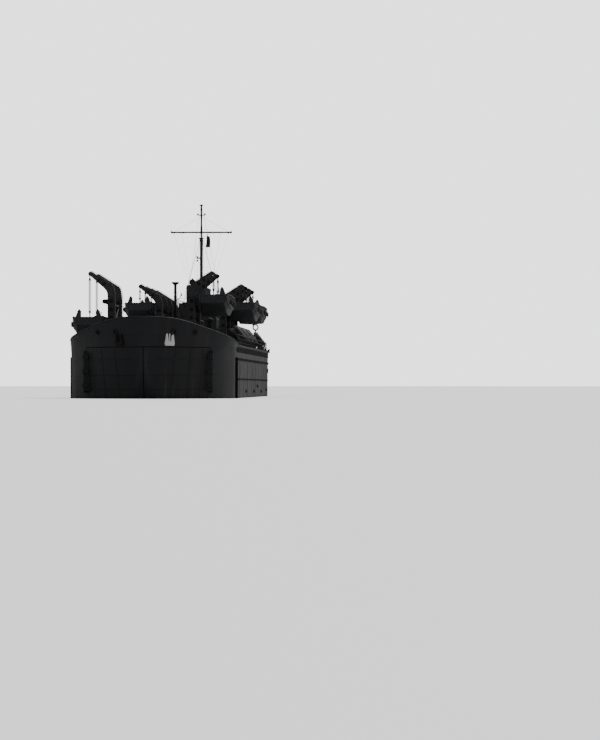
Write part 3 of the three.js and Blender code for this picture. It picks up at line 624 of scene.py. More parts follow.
for sideName, side in sides:
    # rolled cap along the bulwark, running down to the deck edge aft
    bm = bmesh.new()
    run = np.concatenate([np.linspace(0.02, 3, 16), np.linspace(3.3, 20, 40), np.linspace(22, 99.9, 60)])
    addTube(bm, [(atStation(s), side * (deckEdge(s) + 0.001), float(hullRow(s)[6]) * scale + 0.001)
                 for s in run], edging["capRadius"], 8)
    finishPiece(bm, f"sheer_cap_{sideName}", "hull", angle=60)

    # rubbing strakes and the guard plate below the deck edge, tapered at their ends, and the upright guards;
    # the guard plate is painted shade, a near-black band where the deck edge throws shade
    bm = bmesh.new()
    for span, zM, tall, out in edging["strakes"]:
        last = span[2] - 1
        run = [(s, zM, max(0.15, min(1.0, i / 2, (last - i) / 2))) for i, s in enumerate(np.linspace(*span))]
        addRaised(bm, side, run, lengthwise, tall / 2 / scale, tall / 2.6 / scale, out)
    for s, wide in edging["guards"]:
        run = [(s, zM, 1) for zM in np.linspace(2.6, 6.55, 16)]
        addRaised(bm, side, run, upright, wide / 2, wide / 4, edging["guardOut"])
    finishPiece(bm, f"rubbing_strakes_and_shade_band_{sideName}", "tar", bevel=0.0015)

    # butt straps and welded doublers
    bm = bmesh.new()
    for s in doublers["straps"]:
        run = [(s, zM, 1) for zM in np.linspace(2.6, 6.2, 12)]
        addRaised(bm, side, run, upright, *doublers["strapHalf"], 0.0016)
    for s0, s1, low, high in doublers["plates"]:
        half = (high - low) / 2
        run = [(s, low + half, 1) for s in np.linspace(s0, s1, 8)]
        addRaised(bm, side, run, lengthwise, half, half - doublers["lap"], 0.0022, -0.003)
    finishPiece(bm, f"doubler_plates_{sideName}", "hull")

    # side lights with eyebrows aft, and the outlets low down
    bm = bmesh.new()
    for s in sideLights["row"]:
        centre, out = addOnHull(bm, side, s, sideLights["rowZ"], 0.4, sideLights["rim"], 18)
        brow = [centre + out * 0.35 + Vector((math.cos(a), 0, math.sin(a))) * sideLights["browRadius"]
                for a in np.linspace(0.25, math.pi - 0.25, 9)]
        addTube(bm, brow, 0.0028, 5)
    for s, zM in sideLights["low"]:
        addOnHull(bm, side, s, zM, 0.4, sideLights["outlet"], 14)
    finishPiece(bm, f"side_lights_{sideName}", "iron")

    # hawse bolster behind the bow anchor, and a towing lead in the bulwark
    bm = bmesh.new()
    for s, zM, r in hawse["spots"]:
        addOnHull(bm, side, s, zM, 0.6,
                  [(0, r * 1.25), (0.010, r * 1.25), (0.016, r), (0.015, r * 0.72), (0.007, r * 0.62),
                   (0.006, 0.001)], 20)
    finishPiece(bm, f"hawse_bolsters_{sideName}", "iron", angle=50)

    # door stiffening, hinge straps and clamps
    bm = bmesh.new()
    for zM in doorFit["bands"]:
        run = [(s, zM, 1) for s in np.linspace(0.9, 5.7, 22)]
        addRaised(bm, side, run, lengthwise, *doorFit["half"], doorFit["out"], -0.003)
    for s in doorFit["posts"]:
        run = [(s, zM, 1) for zM in np.linspace(2.3, 7.2, 16)]
        addRaised(bm, side, run, upright, *doorFit["half"], doorFit["out"], -0.003)
    for zM in doorFit["hinges"]:
        x, z = doorFit["hingeX"], zM * scale
        addSideBox(bm, side, (x + 0.004, x + 0.054), doorFit["lug"], (z - 0.016, z + 0.016))
        addTurned(bm, (x, side * doorFit["pinY"], z - 0.02), upwards,
                  [(0, 0.0105), (0.002, 0.0125), (0.038, 0.0125), (0.040, 0.0105)], 14)
    finishPiece(bm, f"door_straps_{sideName}", "hull", f"bow_door_{sideName}", bevel=0.001)
print("hull edged and fitted")

# Forecastle: bulwark stays, windlass gear, chain, bollards and vents
foredeck = [(3.6, 0.778), (4.4, 0.834), (5.0, 0.852)]       # (x, z) along its deck
stays = dict(first=1.3, last=13.4, leastHigh=0.03, thick=0.004)


def foredeckAt(x):
    return float(np.interp(x, *zip(*foredeck)))


for sideName, side in sides:
    bm = bmesh.new()
    for s in np.arange(stays["first"], stays["last"], edging["stayGap"] / scale * 0.75):
        x, y, top = atStation(s), deckEdge(s) - 0.0105, float(hullRow(s)[6]) * scale - 0.006
        low = foredeckAt(x)
        if top - low < stays["leastHigh"]:
            continue
        foot = min(edging["staySize"], (top - low) * 0.8)
        yLow = sideY(s, low / scale) * scale - 0.012
        corners = ((yLow, low - 0.002), (yLow - foot, low - 0.002), (yLow - foot, low + 0.006),
                   (y - 0.009, top), (y - 0.001, top))
        addPlate(bm, [(x, side * yAt, z) for yAt, z in corners], (stays["thick"], 0, 0))
    finishPiece(bm, f"bulwark_stays_{sideName}", "hull")


def addBollards(bm, x, y, z, athwart=False, gap=0.062, r=0.0155, tall=0.058):
    profile = [(0, r * 1.25), (0.006, r), (tall * 0.8, r), (tall * 0.83, r * 1.35), (tall * 0.95, r * 1.35),
               (tall, r * 1.1)]
    for e in (-1, 1):
        spot = (x, y + e * gap / 2) if athwart else (x + e * gap / 2, y)
        addTurned(bm, (*spot, z + 0.004), upwards, profile, 14)
    wide, deep = (0.022, gap) if athwart else (gap, 0.022)
    addBox(bm, (x - wide / 2 - 0.022, y - deep / 2 - 0.012, z - 0.002),
           (x + wide / 2 + 0.022, y + deep / 2 + 0.012, z + 0.006))


def addVent(bm, x, y, z, r, tall):
    addTurned(bm, (x, y, z), upwards,
              [(0, r * 1.2), (0.005, r * 1.2), (0.007, r * 0.8), (tall * 0.62, r * 0.8),
               (tall * 0.64, r * 1.5), (tall * 0.72, r * 1.62), (tall * 0.86, r * 1.45),
               (tall * 0.95, r * 0.9), (tall, 0.002)], 14)


foreFit = dict(bollards=((4.20, 0.46, False), (3.86, 0.56, False), (4.76, 0.17, True)),
               vents=((4.02, 0.34, 0.018, 0.085), (4.30, 0.30, 0.022, 0.11)),
               along=(16.5, 36, 52, 60, 78.5, 93.5), inside=0.05, capstan=(3.70, 0.22, 0.78),
               drum=[(0, 0.05), (0.03, 0.05), (0.034, 0.056), (0.044, 0.056), (0.05, 0.05)])
bm = bmesh.new()
for side in (1, -1):
    for x, y, athwart in foreFit["bollards"]:
        addBollards(bm, x, side * y, foredeckAt(x), athwart)
    for x, y, r, tall in foreFit["vents"]:
        addVent(bm, x, side * y, foredeckAt(x) - 0.002, r, tall)
    for s in foreFit["along"]:
        addBollards(bm, atStation(s), side * (deckEdge(s) - foreFit["inside"]), deckZ)
for side in (1, -1):
    x, y, z = foreFit["capstan"]
    addTurned(bm, (x, side * y, z), upwards, foreFit["drum"], 18)
finishPiece(bm, "bollards_and_vents", "iron", angle=50)

# anchor windlass: wildcats, brake wheels, warping ends and gear case over the plain drum
windlass = dict(x=3.99, z=0.876, endY=0.100, catY=0.028, wheel=(4.062, 0.075, 0.905), wheelRadius=0.024,
                case=((3.905, -0.045, 0.845), (3.965, 0.045, 0.905)),
                end=[(0, 0.030), (0.004, 0.044), (0.010, 0.044), (0.014, 0.032), (0.030, 0.022),
                     (0.042, 0.022), (0.052, 0.036), (0.057, 0.036), (0.058, 0.020)],
                cat=[(0, 0.040), (0.006, 0.047), (0.010, 0.047), (0.018, 0.036), (0.026, 0.036),
                     (0.034, 0.047), (0.038, 0.047), (0.044, 0.040)])
bm = bmesh.new()
for side in (1, -1):
    for part, y, count in (("end", windlass["endY"], 22), ("cat", windlass["catY"], 12)):
        addTurned(bm, (windlass["x"], side * y, windlass["z"]), (0, side, 0), windlass[part], count)
    x, y, z = windlass["wheel"]
    hub = Vector((x, side * y, z))
    rim = [hub + Vector((0, math.cos(a), math.sin(a))) * windlass["wheelRadius"]
           for a in (2 * math.pi * k / 16 for k in range(16))]
    addTube(bm, rim, 0.003, 5, closed=True)
    for a in (0, math.pi / 2):
        d = Vector((0, math.cos(a), math.sin(a))) * windlass["wheelRadius"]
        addTube(bm, [hub - d, hub + d], 0.0022, 5)
    addTube(bm, [hub, hub + Vector((-0.03, 0, -0.04))], 0.004, 6)
addBox(bm, *windlass["case"])
finishPiece(bm, "windlass_gear", "iron", bevel=0.0012, angle=45)

chain = dict(link=0.026, wire=0.0034, lift=0.004, pitch=0.72, fromWindlass=(4.035, 0.047, 0.872),
             bend=(4.70, 0.075),
             shape=((-1, -0.7), (-0.5, -1), (0.5, -1), (1, -0.7), (1.12, 0), (1, 0.7), (0.5, 1), (-0.5, 1),
                    (-1, 0.7), (-1.12, 0)))


def addChain(bm, start, end, v):
    start, end = Vector(start), Vector(end)
    along = (end - start).normalized()
    count = int((end - start).length / (v["link"] * v["pitch"]))
    cross = along.cross(Vector(upwards)).normalized()
    up = cross.cross(along)
    half, wide = v["link"] / 2 - v["wire"] * 1.3, v["link"] * 0.24
    for i in range(count):
        mid = start + along * (i + 0.5) * (end - start).length / count + up * v["lift"]
        other = cross if i % 2 else up
        addTube(bm, [mid + along * half * a + other * wide * b for a, b in v["shape"]], v["wire"], 5,
                closed=True)


bm = bmesh.new()
for side in (1, -1):
    pipe = onHull(*hawse["spots"][0][:2], side)
    x, y, z = chain["fromWindlass"]
    bend = (chain["bend"][0], side * chain["bend"][1], foredeckAt(chain["bend"][0]) + 0.004)
    addChain(bm, (x, side * y, z), bend, chain)
    addChain(bm, bend, (pipe.x - 0.02, pipe.y - side * 0.022, pipe.z - 0.008), chain)
finishPiece(bm, "anchor_chains", "iron", angle=60)
print("forecastle fitted")

# Rails: stanchions with three wires, set a little inside the deck edge and open where the after davits
# run out. Runs along the deck are (side, from, to, steps) in stations
railing = dict(high=0.107, gap=0.155, post=0.0024, wire=0.0012, inM=0.10,
               runs=((1, 17.2, 49, 20), (1, 50.5, 82.1, 20), (-1, 34.6, 82.1, 24), (1, 91.9, 99.3, 8),
                     (-1, 91.9, 99.3, 8)), stern=[(-4.93, y, deckZ) for y in (0.545, 0.3, -0.3, -0.545)])


def addRail(bm, path, high=railing["high"], wires=3):
    path, post = [Vector(p) for p in path], railing["post"]
    lengths = [0.0]
    for a, b in zip(path, path[1:]):
        lengths.append(lengths[-1] + (b - a).length)
    posts = max(2, int(lengths[-1] / railing["gap"]) + 1)
    for i in range(posts):
        d = lengths[-1] * i / (posts - 1)
        k = max(j for j in range(len(lengths) - 1) if lengths[j] <= d + 1e-9)
        p = path[k].lerp(path[k + 1], (d - lengths[k]) / max(lengths[k + 1] - lengths[k], 1e-9))
        addTurned(bm, p, upwards,
                  [(-0.001, post * 1.9), (0.006, post * 1.6), (0.008, post), (high - 0.002, post * 0.85),
                   (high, post * 1.5), (high + 0.003, 0.0008)], 6)
    for w in range(1, wires + 1):
        z = high * w / wires - (0.001 if w == wires else 0)
        thick = railing["wire"] * (1.6 if w == wires else 1)
        addTube(bm, [p + Vector((0, 0, z)) for p in path], thick, 5)


bm = bmesh.new()
for side, s0, s1, steps in railing["runs"]:
    addRail(bm, [(atStation(s), side * deckEdge(s, railing["inM"]), deckZ)
                 for s in np.linspace(s0, s1, steps)])
addRail(bm, railing["stern"])
finishPiece(bm, "deck_edge_rails", "wire", angle=60)
print("rails set")


# Davits, as in the part: side, where the boat's middle is, how far out the heads stand, how high the
# keel hangs and where the track begins
davits = dict(port_forward=(1, 2.2, 0.475, 1.062, 0.190), starboard_forward=(-1, 2.2, 0.688, 0.850, 0.190),
              port_middle=(1, -2.1, 0.544, 1.085, 0.296), starboard_middle=(-1, -2.1, 0.544, 1.085, 0.296),
              port_after=(1, -3.7, 0.544, 1.085, 0.296), starboard_after=(-1, -3.7, 0.544, 1.085, 0.296))
# one arm, with u inboard from the head and v above the deck; the outline is in millimetres
arm = dict(span=0.400, halfThick=0.017, flange=0.0245, flangeDeep=0.005, hang=(-0.012, 0.696), falls=0.371,
           seat=0.198, ribs=(0.235, 0.315, 0.395, 0.475), ribU=(0.164, 0.232), blockDrop=0.052,
           tackle=0.245,
           holes=((0.198, 0.275, 0.021), (0.198, 0.355, 0.021), (0.197, 0.435, 0.021),
                  (0.178, 0.560, 0.020), (0.128, 0.600, 0.017), (0.080, 0.636, 0.014)),
           outline=((-20, 702), (-12, 714), (4, 718), (18, 712), (201, 596), (218, 574), (230, 515),
                    (234, 455), (234, 190), (246, 64), (148, 64), (163, 190), (163, 451), (162, 494),
                    (156, 525), (134, 556), (-8, 681), (-18, 686)),
           bend=((0.166, 0.478), (0.228, 0.478), (0.212, 0.572), (0.196, 0.592), (0.150, 0.556),
                 (0.162, 0.520)),
           nose=((-0.012, 0.686), (0.040, 0.648), (0.060, 0.680), (0.016, 0.708), (-0.010, 0.710)),
           lead=((-0.004, 0.722), (0.020, 0.719), (0.204, 0.603), (0.226, 0.576), (0.240, 0.515),
                 (0.243, 0.455), (0.243, 0.200), (0.243, 0.075)))
shapes = dict(cheek=[(0, 0.019), (0.004, 0.019), (0.0055, 0.0165)],
              wheel=[(0, 0.017), (0.004, 0.019), (0.007, 0.019), (0.009, 0.014), (0.010, 0.007),
                     (0.015, 0.0065), (0.0155, 0.004)],
              headSheave=[(0, 0.017), (0.003, 0.0175), (0.005, 0.0145), (0.008, 0.0145), (0.010, 0.0175),
                          (0.0125, 0.017)], blockSheave=[(0, 0.0085), (0.0045, 0.007), (0.009, 0.0085)],
              blockSide=((-0.006, -0.013), (0.006, -0.013), (0.009, 0), (0.006, 0.014), (-0.006, 0.014),
                         (-0.009, 0)),
              tieFoot=[(0, 0.020), (0.003, 0.020), (0.004, 0.0145), (0.010, 0.0125)],
              drum=[(0, 0.028), (0.004, 0.028), (0.006, 0.019), (0.114, 0.019), (0.116, 0.028),
                    (0.120, 0.028)],
              leadSheave=[(0, 0.022), (0.003, 0.022), (0.005, 0.015), (0.010, 0.015), (0.012, 0.022),
                          (0.015, 0.022)])


def inwards(outline, deep):
    # the same outline moved in by a distance, corner by corner
    points = [Vector(p) for p in outline]
    moved = []
    for i, p in enumerate(points):
        before, after = (p - points[i - 1]).normalized(), (points[(i + 1) % len(points)] - p).normalized()
        bisect = Vector((before.y + after.y, -(before.x + after.x)))
        bisect.normalize()
        lean = max(0.5, abs(bisect.dot(Vector((before.y, -before.x)))))
        moved.append(p + bisect * deep / lean)
    return moved


def addRing(bm, centre, axis, radius, wire, sides=18, around=6):
    axis = Vector(axis).normalized()
    a = axis.orthogonal().normalized()
    b = axis.cross(a)
    path = [Vector(centre) + (a * math.cos(t) + b * math.sin(t)) * radius
            for t in (2 * math.pi * k / sides for k in range(sides))]
    addTube(bm, path, wire, around, closed=True)


def addDavitPlates(bm, lay, side):
    metres = [(u / 1000, v / 1000) for u, v in arm["outline"]]
    inner, outer = inwards(metres, arm["flangeDeep"]), inwards(metres, -0.0008)
    count = len(metres)
    for x in (-arm["span"], arm["span"]):
        # flange plate all round the web
        points = [lay(x + dx * arm["flange"], edge[i][0], edge[i][1]) for i in range(count)
                  for edge, dx in ((outer, -1), (outer, 1), (inner, 1), (inner, -1))]
        addForm(bm, points, [(4 * i + k, 4 * i + (k + 1) % 4, 4 * j + (k + 1) % 4, 4 * j + k)
                             for i, j in ((i, (i + 1) % count) for i in range(count)) for k in range(4)])
        for dx in (-1, 1):
            # upright stiffeners, doublers at the bend and the nose, and a rolled rim to each hole
            face, u0, u1 = x + dx * arm["halfThick"], *arm["ribU"]
            for v in arm["ribs"]:
                addPlate(bm, [lay(face + deep * dx, u, v)
                              for deep, u in ((-0.001, u0), (-0.001, u1), (0.0065, u1), (0.0065, u0))],
                         (0, 0, 0.0035))
            addPlate(bm, [lay(face, u, v) for u, v in arm["bend"]], (dx * 0.0022, 0, 0))
            addPlate(bm, [lay(face, u, v) for u, v in arm["nose"]], (dx * 0.0030, 0, 0))
            for u, v, r in arm["holes"]:
                addRing(bm, lay(face + dx * 0.0008, u, v), (1, 0, 0), r, 0.0022, 20, 6)
        for dx in (-1, 1):
            addTurned(bm, lay(x + dx * 0.017, -0.004, 0.699), (dx, 0, 0), shapes["cheek"], 20)
        # knees to the carriage
        for dx in (-1, 1):
            face = x + dx * 0.0165
            for u, top, way in ((0.160, 0.166, -1), (0.234, 0.230, 1)):
                addPlate(bm, [lay(face, u, 0.064), lay(face + dx * 0.014, u, 0.064),
                              lay(face + dx * 0.001, top, 0.150)], (0, way * side * 0.004, 0))


def addDavitIron(bm, lay, keel):
    hangU, hangV = arm["hang"]
    for end in (-1, 1):
        x, fall = end * arm["span"], end * arm["falls"]
        for dx in (-1, 1):
            for u, v, r in arm["holes"]:
                addTurned(bm, lay(x + dx * (arm["halfThick"] - 0.001), u, v), (dx, 0, 0),
                          [(0, r - 0.001), (0.0016, r - 0.001)], 20)
        # carriage wheels on the rail, then the head's sheave and the two blocks of the fall
        for y in (-0.033, 0.033):
            for dx in (-1, 1):
                addTurned(bm, lay(x + dx * 0.0285, arm["seat"] + y, 0.046), (dx, 0, 0), shapes["wheel"], 16)
        addTurned(bm, lay(end * 0.358, hangU, hangV), (end, 0, 0), shapes["headSheave"], 20)
        for z in (hangV - arm["blockDrop"], keel + arm["tackle"] - deckZ):
            for dx in (-0.0085, 0.0055):
                addPlate(bm, [lay(fall + dx, hangU + a, z + b) for a, b in shapes["blockSide"]],
                         (0.003, 0, 0))
            addTurned(bm, lay(fall - 0.008, hangU, z), (1, 0, 0), [(0, 0.006), (0.017, 0.006)], 10)
            addTurned(bm, lay(fall - 0.0045, hangU, z), (1, 0, 0), shapes["blockSheave"], 14)


def addDavitFalls(bm, lay, keel):
    hangU, hangV = arm["hang"]
    top, low = hangV - arm["blockDrop"], keel + arm["tackle"] - deckZ
    for end in (-1, 1):
        for a, b in ((-0.0105, 0.002), (0.0105, -0.002)):
            addTube(bm, [lay(end * arm["falls"] + b, hangU + a, v) for v in (top, low)], 0.0017, 6)
        # hauling part, down the back of the arm to the carriage
        addTube(bm, [lay(end * (arm["span"] - 0.006), u, v) for u, v in arm["lead"]], 0.0022, 6)


def addDavitTies(bm, lay):
    u = arm["seat"] + 0.004
    for v in (0.110, 0.400):
        for end in (-1, 1):
            addTurned(bm, lay(end * 0.382, arm["seat"], v), (-end, 0, 0), shapes["tieFoot"], 16)
    for end in (-1, 1):
        addTube(bm, [lay(end * 0.385, u, 0.118), lay(-end * 0.385, u, 0.392)], 0.0042, 8)
    addTurned(bm, lay(-0.006, u, 0.255), (1, 0, 0), [(0, 0.014), (0.012, 0.014)], 14)
    # steps up the inboard side of the after leg
    for v in np.arange(0.11, 0.50, 0.032):
        addTube(bm, [lay(dx, out, v)
                     for dx, out in ((-0.413, 0.233), (-0.413, 0.242), (-0.387, 0.242), (-0.387, 0.233))],
                0.0016, 5)


def addTrack(bm, side, middle, track):
    # rail stops and rack teeth on a ground plate
    for x in (middle - arm["span"], middle + arm["span"]):
        for y, away in ((track + 0.006, -1), (0.742, 1)):
            addSideBox(bm, side, (x - 0.017, x + 0.017), (y - 0.006, y + 0.006), (0.796, 0.818))
            addPlate(bm, [(x - 0.004, side * y, 0.797), (x - 0.004, side * y, 0.814),
                          (x - 0.004, side * (y - away * 0.026), 0.797)], (0.008, 0, 0))
        for y in np.arange(track + 0.03, 0.735, 0.022):
            for x0 in (x - 0.0225, x + 0.0185):
                addSideBox(bm, side, (x0, x0 + 0.004), (y - 0.0045, y + 0.0045), (0.768, 0.782))
        addStrip(bm, [[(x + a, side * y, z)
                       for a, z in ((-0.030, 0.766), (-0.030, 0.7705), (0.030, 0.7705), (0.030, 0.766))]
                      for y in (track - 0.02, 0.75)])


def addWinch(bm, middle, y):
    addBox(bm, (middle - 0.085, y - 0.034, 0.7655), (middle + 0.085, y + 0.034, 0.775))
    for x in (middle - 0.068, middle + 0.058):
        addPlate(bm, [(x, y - 0.028, 0.774), (x, y + 0.028, 0.774), (x, y + 0.015, 0.826),
                      (x, y - 0.015, 0.826)], (0.010, 0, 0))
    addTurned(bm, (middle - 0.062, y, 0.808), (1, 0, 0), shapes["drum"], 20)
    for k in range(16):
        addRing(bm, (middle - 0.052 + k * 0.0062, y, 0.808), (1, 0, 0), 0.0205, 0.0026, 16, 5)
    addBox(bm, (middle + 0.070, y - 0.022, 0.776), (middle + 0.118, y + 0.022, 0.820))
    addTurned(bm, (middle + 0.118, y, 0.800), (1, 0, 0), [(0, 0.016), (0.022, 0.016), (0.024, 0.012)], 14)


for davitName, (side, middle, head, keel, track) in davits.items():
    body = f"davit_{davitName}"

    def lay(dx, u, v, side=side, middle=middle, head=head):
        return Vector((middle + dx, side * (head - u), deckZ + v))

    plates, dark, ropes, ties, bed, winch = [bmesh.new() for k in range(6)]
    addDavitPlates(plates, lay, side)
    finishPiece(plates, f"davit_plates_{davitName}", "davit", body, bevel=0.0008)
    addDavitIron(dark, lay, keel)
    finishPiece(dark, f"davit_iron_{davitName}", "iron", body, bevel=0.0006)
    addDavitFalls(ropes, lay, keel)
    finishPiece(ropes, f"davit_falls_{davitName}", "manila", body, angle=60)
    addDavitTies(ties, lay)
    finishPiece(ties, f"davit_ties_{davitName}", "davit", body, angle=50)
    # what stands on the deck under them
    addTrack(bed, side, middle, track)
    finishPiece(bed, f"davit_track_{davitName}", "iron", bevel=0.0007)
    addWinch(winch, middle, side * (track + 0.050))
    finishPiece(winch, f"davit_winch_{davitName}", "iron", bevel=0.001, angle=45)

# lead blocks on their brackets, outboard of the lowered pair
side, middle, head = davits["starboard_forward"][:3]
bm = bmesh.new()
for dx in (-arm["span"], arm["span"]):
    addPlate(bm, [(middle + dx - 0.014, side * (head - u), deckZ + v)
                  for u, v in ((0.163, 0.40), (0.163, 0.455), (0.128, 0.452), (0.128, 0.415))],
             (0.010, 0, 0))
    addTurned(bm, (middle + dx - 0.016, side * (head - 0.131), deckZ + 0.432), (1, 0, 0),
              shapes["leadSheave"], 18)
finishPiece(bm, "lead_blocks_starboard_forward", "iron", "davit_starboard_forward", bevel=0.0008)
print("davits rigged")

# Landing boats: rows of the shell from the stern to the ramp, as in the part: how far ahead, height of the
# bottom, shares of the half-breadth at the chine and the gunwale, and height of the gunwale
boatRows = [(-0.55, 0.038, 0.62, 0.9, 0.186), (-0.275, 0.008, 0.78, 1.0, 0.186),
            (0.1375, 0.0, 0.8, 1.0, 0.192), (0.418, 0.034, 0.76, 0.97, 0.198),
            (0.55, 0.118, 0.7, 0.84, 0.200)]
boat = dict(half=0.1585, wellStern=-0.40, wellRise=0.40, wellBow=0.51, wellHalf=0.1185, floor=0.045,
            sill=0.120,
            # strakes: height from chine to gunwale, how far out and half their height
            strakes=((0.985, 0.0085, 0.008), (0.62, 0.006, 0.006), (0.33, 0.005, 0.005)),
            sideFrames=(-0.44, -0.33, -0.22, -0.11, 0.0, 0.11, 0.22, 0.33, 0.43), frameTs=(0.36, 0.5, 0.64,
                                                                                           0.8, 0.95),
            rampX=0.5485, engineX=(-0.392, -0.240), wheel=(-0.444, 0.018, 0.256), deckZ=0.186,
            # bars of the ramp: from and to across, from and to up, and how far out
            rampBars=((-0.131, 0.131, 0.190, 0.200, 0.009), (-0.112, 0.112, 0.119, 0.128, 0.009),
                      (-0.128, -0.116, 0.126, 0.198, 0.008), (0.116, 0.128, 0.126, 0.198, 0.008),
                      (-0.006, 0.006, 0.126, 0.194, 0.006), (-0.068, -0.058, 0.126, 0.194, 0.006),
                      (0.058, 0.068, 0.126, 0.194, 0.006), (-0.118, 0.118, 0.156, 0.163, 0.005)),
            skeg=((-0.20, 0.010), (-0.42, 0.026), (-0.475, 0.034), (-0.475, 0.006), (-0.40, 0.002),
                  (-0.24, 0.002)),
            rudder=((-0.500, 0.040), (-0.545, 0.042), (-0.540, 0.004), (-0.502, 0.004)),
            blade=((0.003, -0.003), (0.013, -0.008), (0.017, 0), (0.013, 0.006), (0.003, 0.003)),
            shaftEnd=(-0.486, 0, 0.017), posts=0.088,
            slingPlate=[(0, 0.016), (0.004, 0.016), (0.006, 0.009), (0.020, 0.008)],
            cleat=[(0, 0.006), (0.006, 0.006), (0.008, 0.010), (0.011, 0.010), (0.012, 0.007)],
            rampSheave=[(0, 0.011), (0.004, 0.011), (0.006, 0.007), (0.010, 0.007), (0.012, 0.011),
                        (0.014, 0.011)],
            fender=[(0, 0.003), (0.004, 0.009), (0.012, 0.0115), (0.040, 0.0115), (0.048, 0.009),
                    (0.052, 0.003)])


def boatAt(dx):
    xs = [r[0] for r in boatRows]
    bottom, low, high, top = [float(np.interp(dx, xs, [r[k] for r in boatRows])) for k in (1, 2, 3, 4)]
    return bottom, low * boat["half"], high * boat["half"], top


def wellFloor(dx):
    return float(np.interp(dx, [boat["wellRise"], boat["wellBow"]], [boat["floor"], boat["sill"]]))


def boatSide(dx, t):
    # outside of the boat at a height t from chine to gunwale: (half-breadth, height)
    bottom, low, high, top = boatAt(dx)
    bend = bottom + 0.42 * (top - bottom)
    z = bottom + 0.006 + t * (top - bottom - 0.006)
    if z < bend:
        return low + (high - low) * (z - bottom - 0.006) / (bend - bottom - 0.006), z
    return high + 0.004 * (z - bend) / (top - bend), z


def addBoatShell(bm, afloat):
    def box(x0, y0, z0, x1, y1, z1):
        addBox(bm, afloat(x0, y0, z0), afloat(x1, y1, z1))

    def pairBox(e, x, y, z):
        lo, hi = sorted((e * y[0], e * y[1]))
        box(x[0], lo, z[0], x[1], hi, z[1])

    def tube(points, radius, sides=6):
        addTube(bm, [afloat(*p) for p in points], radius, sides)

    half = boat["wellHalf"]
    for e in (-1, 1):
        # gunwale cap, two rubbing strakes and upright frames on the side
        for t, wide, tall in boat["strakes"]:
            edges = []
            for dx in np.linspace(-0.549, 0.549, 23):
                y, z = boatSide(dx, t)
                edges.append([afloat(dx, e * (y + out), z + up * tall)
                              for out, up in ((-0.003, -1), (wide, -0.6), (wide, 0.6), (-0.003, 1))])
            addStrip(bm, edges)
        for dx in boat["sideFrames"]:
            edges = []
            for y, z in (boatSide(dx, t) for t in boat["frameTs"]):
                edges.append([afloat(dx + a, e * (y + out), z)
                              for a, out in ((-0.006, -0.002), (-0.004, 0.0035), (0.004, 0.0035),
                                             (0.006, -0.002))])
            addStrip(bm, edges)
        # inside: stringers and frames of the well
        for z, end in ((0.085, 0.44), (0.140, boat["wellBow"])):
            tube([(boat["wellStern"], e * half, z), (end, e * half, z)], 0.0045)
        for dx in np.linspace(-0.36, 0.46, 12):
            pairBox(e, (dx - 0.004, dx + 0.004), (half - 0.005, half + 0.001), (wellFloor(dx) + 0.001, 0.182))
    # ramp: frame, hinge plate along the bow, and slats
    x = boat["rampX"]
    for y0, y1, z0, z1, out in boat["rampBars"]:
        box(x, y0, z0, x + out, y1, z1)
    edges = []
    for t in np.linspace(0, 1, 9):
        dx, y = 0.43 + 0.118 * t, 0.105 - 0.004 * t
        z = boatAt(dx)[0] - 0.0015
        edges.append([afloat(dx, -y, z), afloat(dx, -y, z - 0.004), afloat(dx, y, z - 0.004),
                      afloat(dx, y, z)])
    addStrip(bm, edges)
    for y in (-0.090 + k * 0.030 for k in range(7)):
        for z0, z1 in ((0.1285, 0.1545), (0.1640, 0.1890)):
            box(x, y - 0.011, z0, x + 0.005, y + 0.011, z1)
    # caps of the bow posts and their braces
    for e in (-1, 1):
        pairBox(e, (0.486, 0.524), (0.068, 0.108), (0.250, 0.2565))
        tube([(0.492, e * 0.100, 0.198), (0.420, e * 0.132, 0.190)], 0.004)
    # engine box with its lid and cap, the steering wheel on its column, and the after deck's hatch and cleats
    x0, x1 = boat["engineX"]
    box(x0, -0.052, 0.046, x1, 0.052, 0.150)
    box(x0 + 0.006, -0.058, 0.150, x1 - 0.006, 0.058, 0.157)
    addTurned(bm, afloat(-0.300, 0, 0.156), upwards, [(0, 0.014), (0.010, 0.014), (0.013, 0.010)], 14)
    tube([(-0.430, 0.018, 0.228), (-0.446, 0.018, 0.258)], 0.004, 8)
    hub = afloat(*boat["wheel"])
    addRing(bm, hub, (-0.5, 0, 0.86), 0.024, 0.0025, 20, 6)
    for a in (0, math.pi / 3, 2 * math.pi / 3):
        d = Vector((0.86 * math.cos(a), math.sin(a), 0.5 * math.cos(a))) * 0.023
        addTube(bm, [hub - d, hub + d], 0.0016, 5)
    box(-0.530, -0.075, 0.184, -0.470, -0.040, 0.192)
    for y in (-0.105, 0.105):
        tube([(-0.500, y, boat["deckZ"]), (-0.500, y, 0.197)], 0.004)
        tube([(-0.516, y, 0.198), (-0.484, y, 0.198)], 0.003)


def addBoatBoards(bm, afloat):
    # floor boards in three lengths, and a bench on legs along each side
    half = 0.0115
    for k in range(9):
        y = -0.104 + k * 0.026
        for x0, x1 in ((-0.235, 0.130), (0.134, 0.392)):
            addBox(bm, afloat(x0, y - half, 0.0445), afloat(x1, y + half, 0.0500 + 0.0004 * (k % 3)))
        addPlate(bm, [afloat(dx, y - half, wellFloor(dx) + up)
                      for dx, up in ((0.406, 0.0), (0.506, 0.0), (0.504, 0.0045), (0.404, 0.0045))],
                 (0, 2 * half, 0))
    for e in (-1, 1):
        lo, hi = sorted((e * 0.112, e * 0.078))
        addBox(bm, afloat(-0.232, lo, 0.090), afloat(0.330, hi, 0.0945))
        for dx in (-0.22, -0.04, 0.14, 0.32):
            addBox(bm, afloat(dx - 0.004, lo + 0.004, 0.050), afloat(dx + 0.004, hi - 0.004, 0.090))


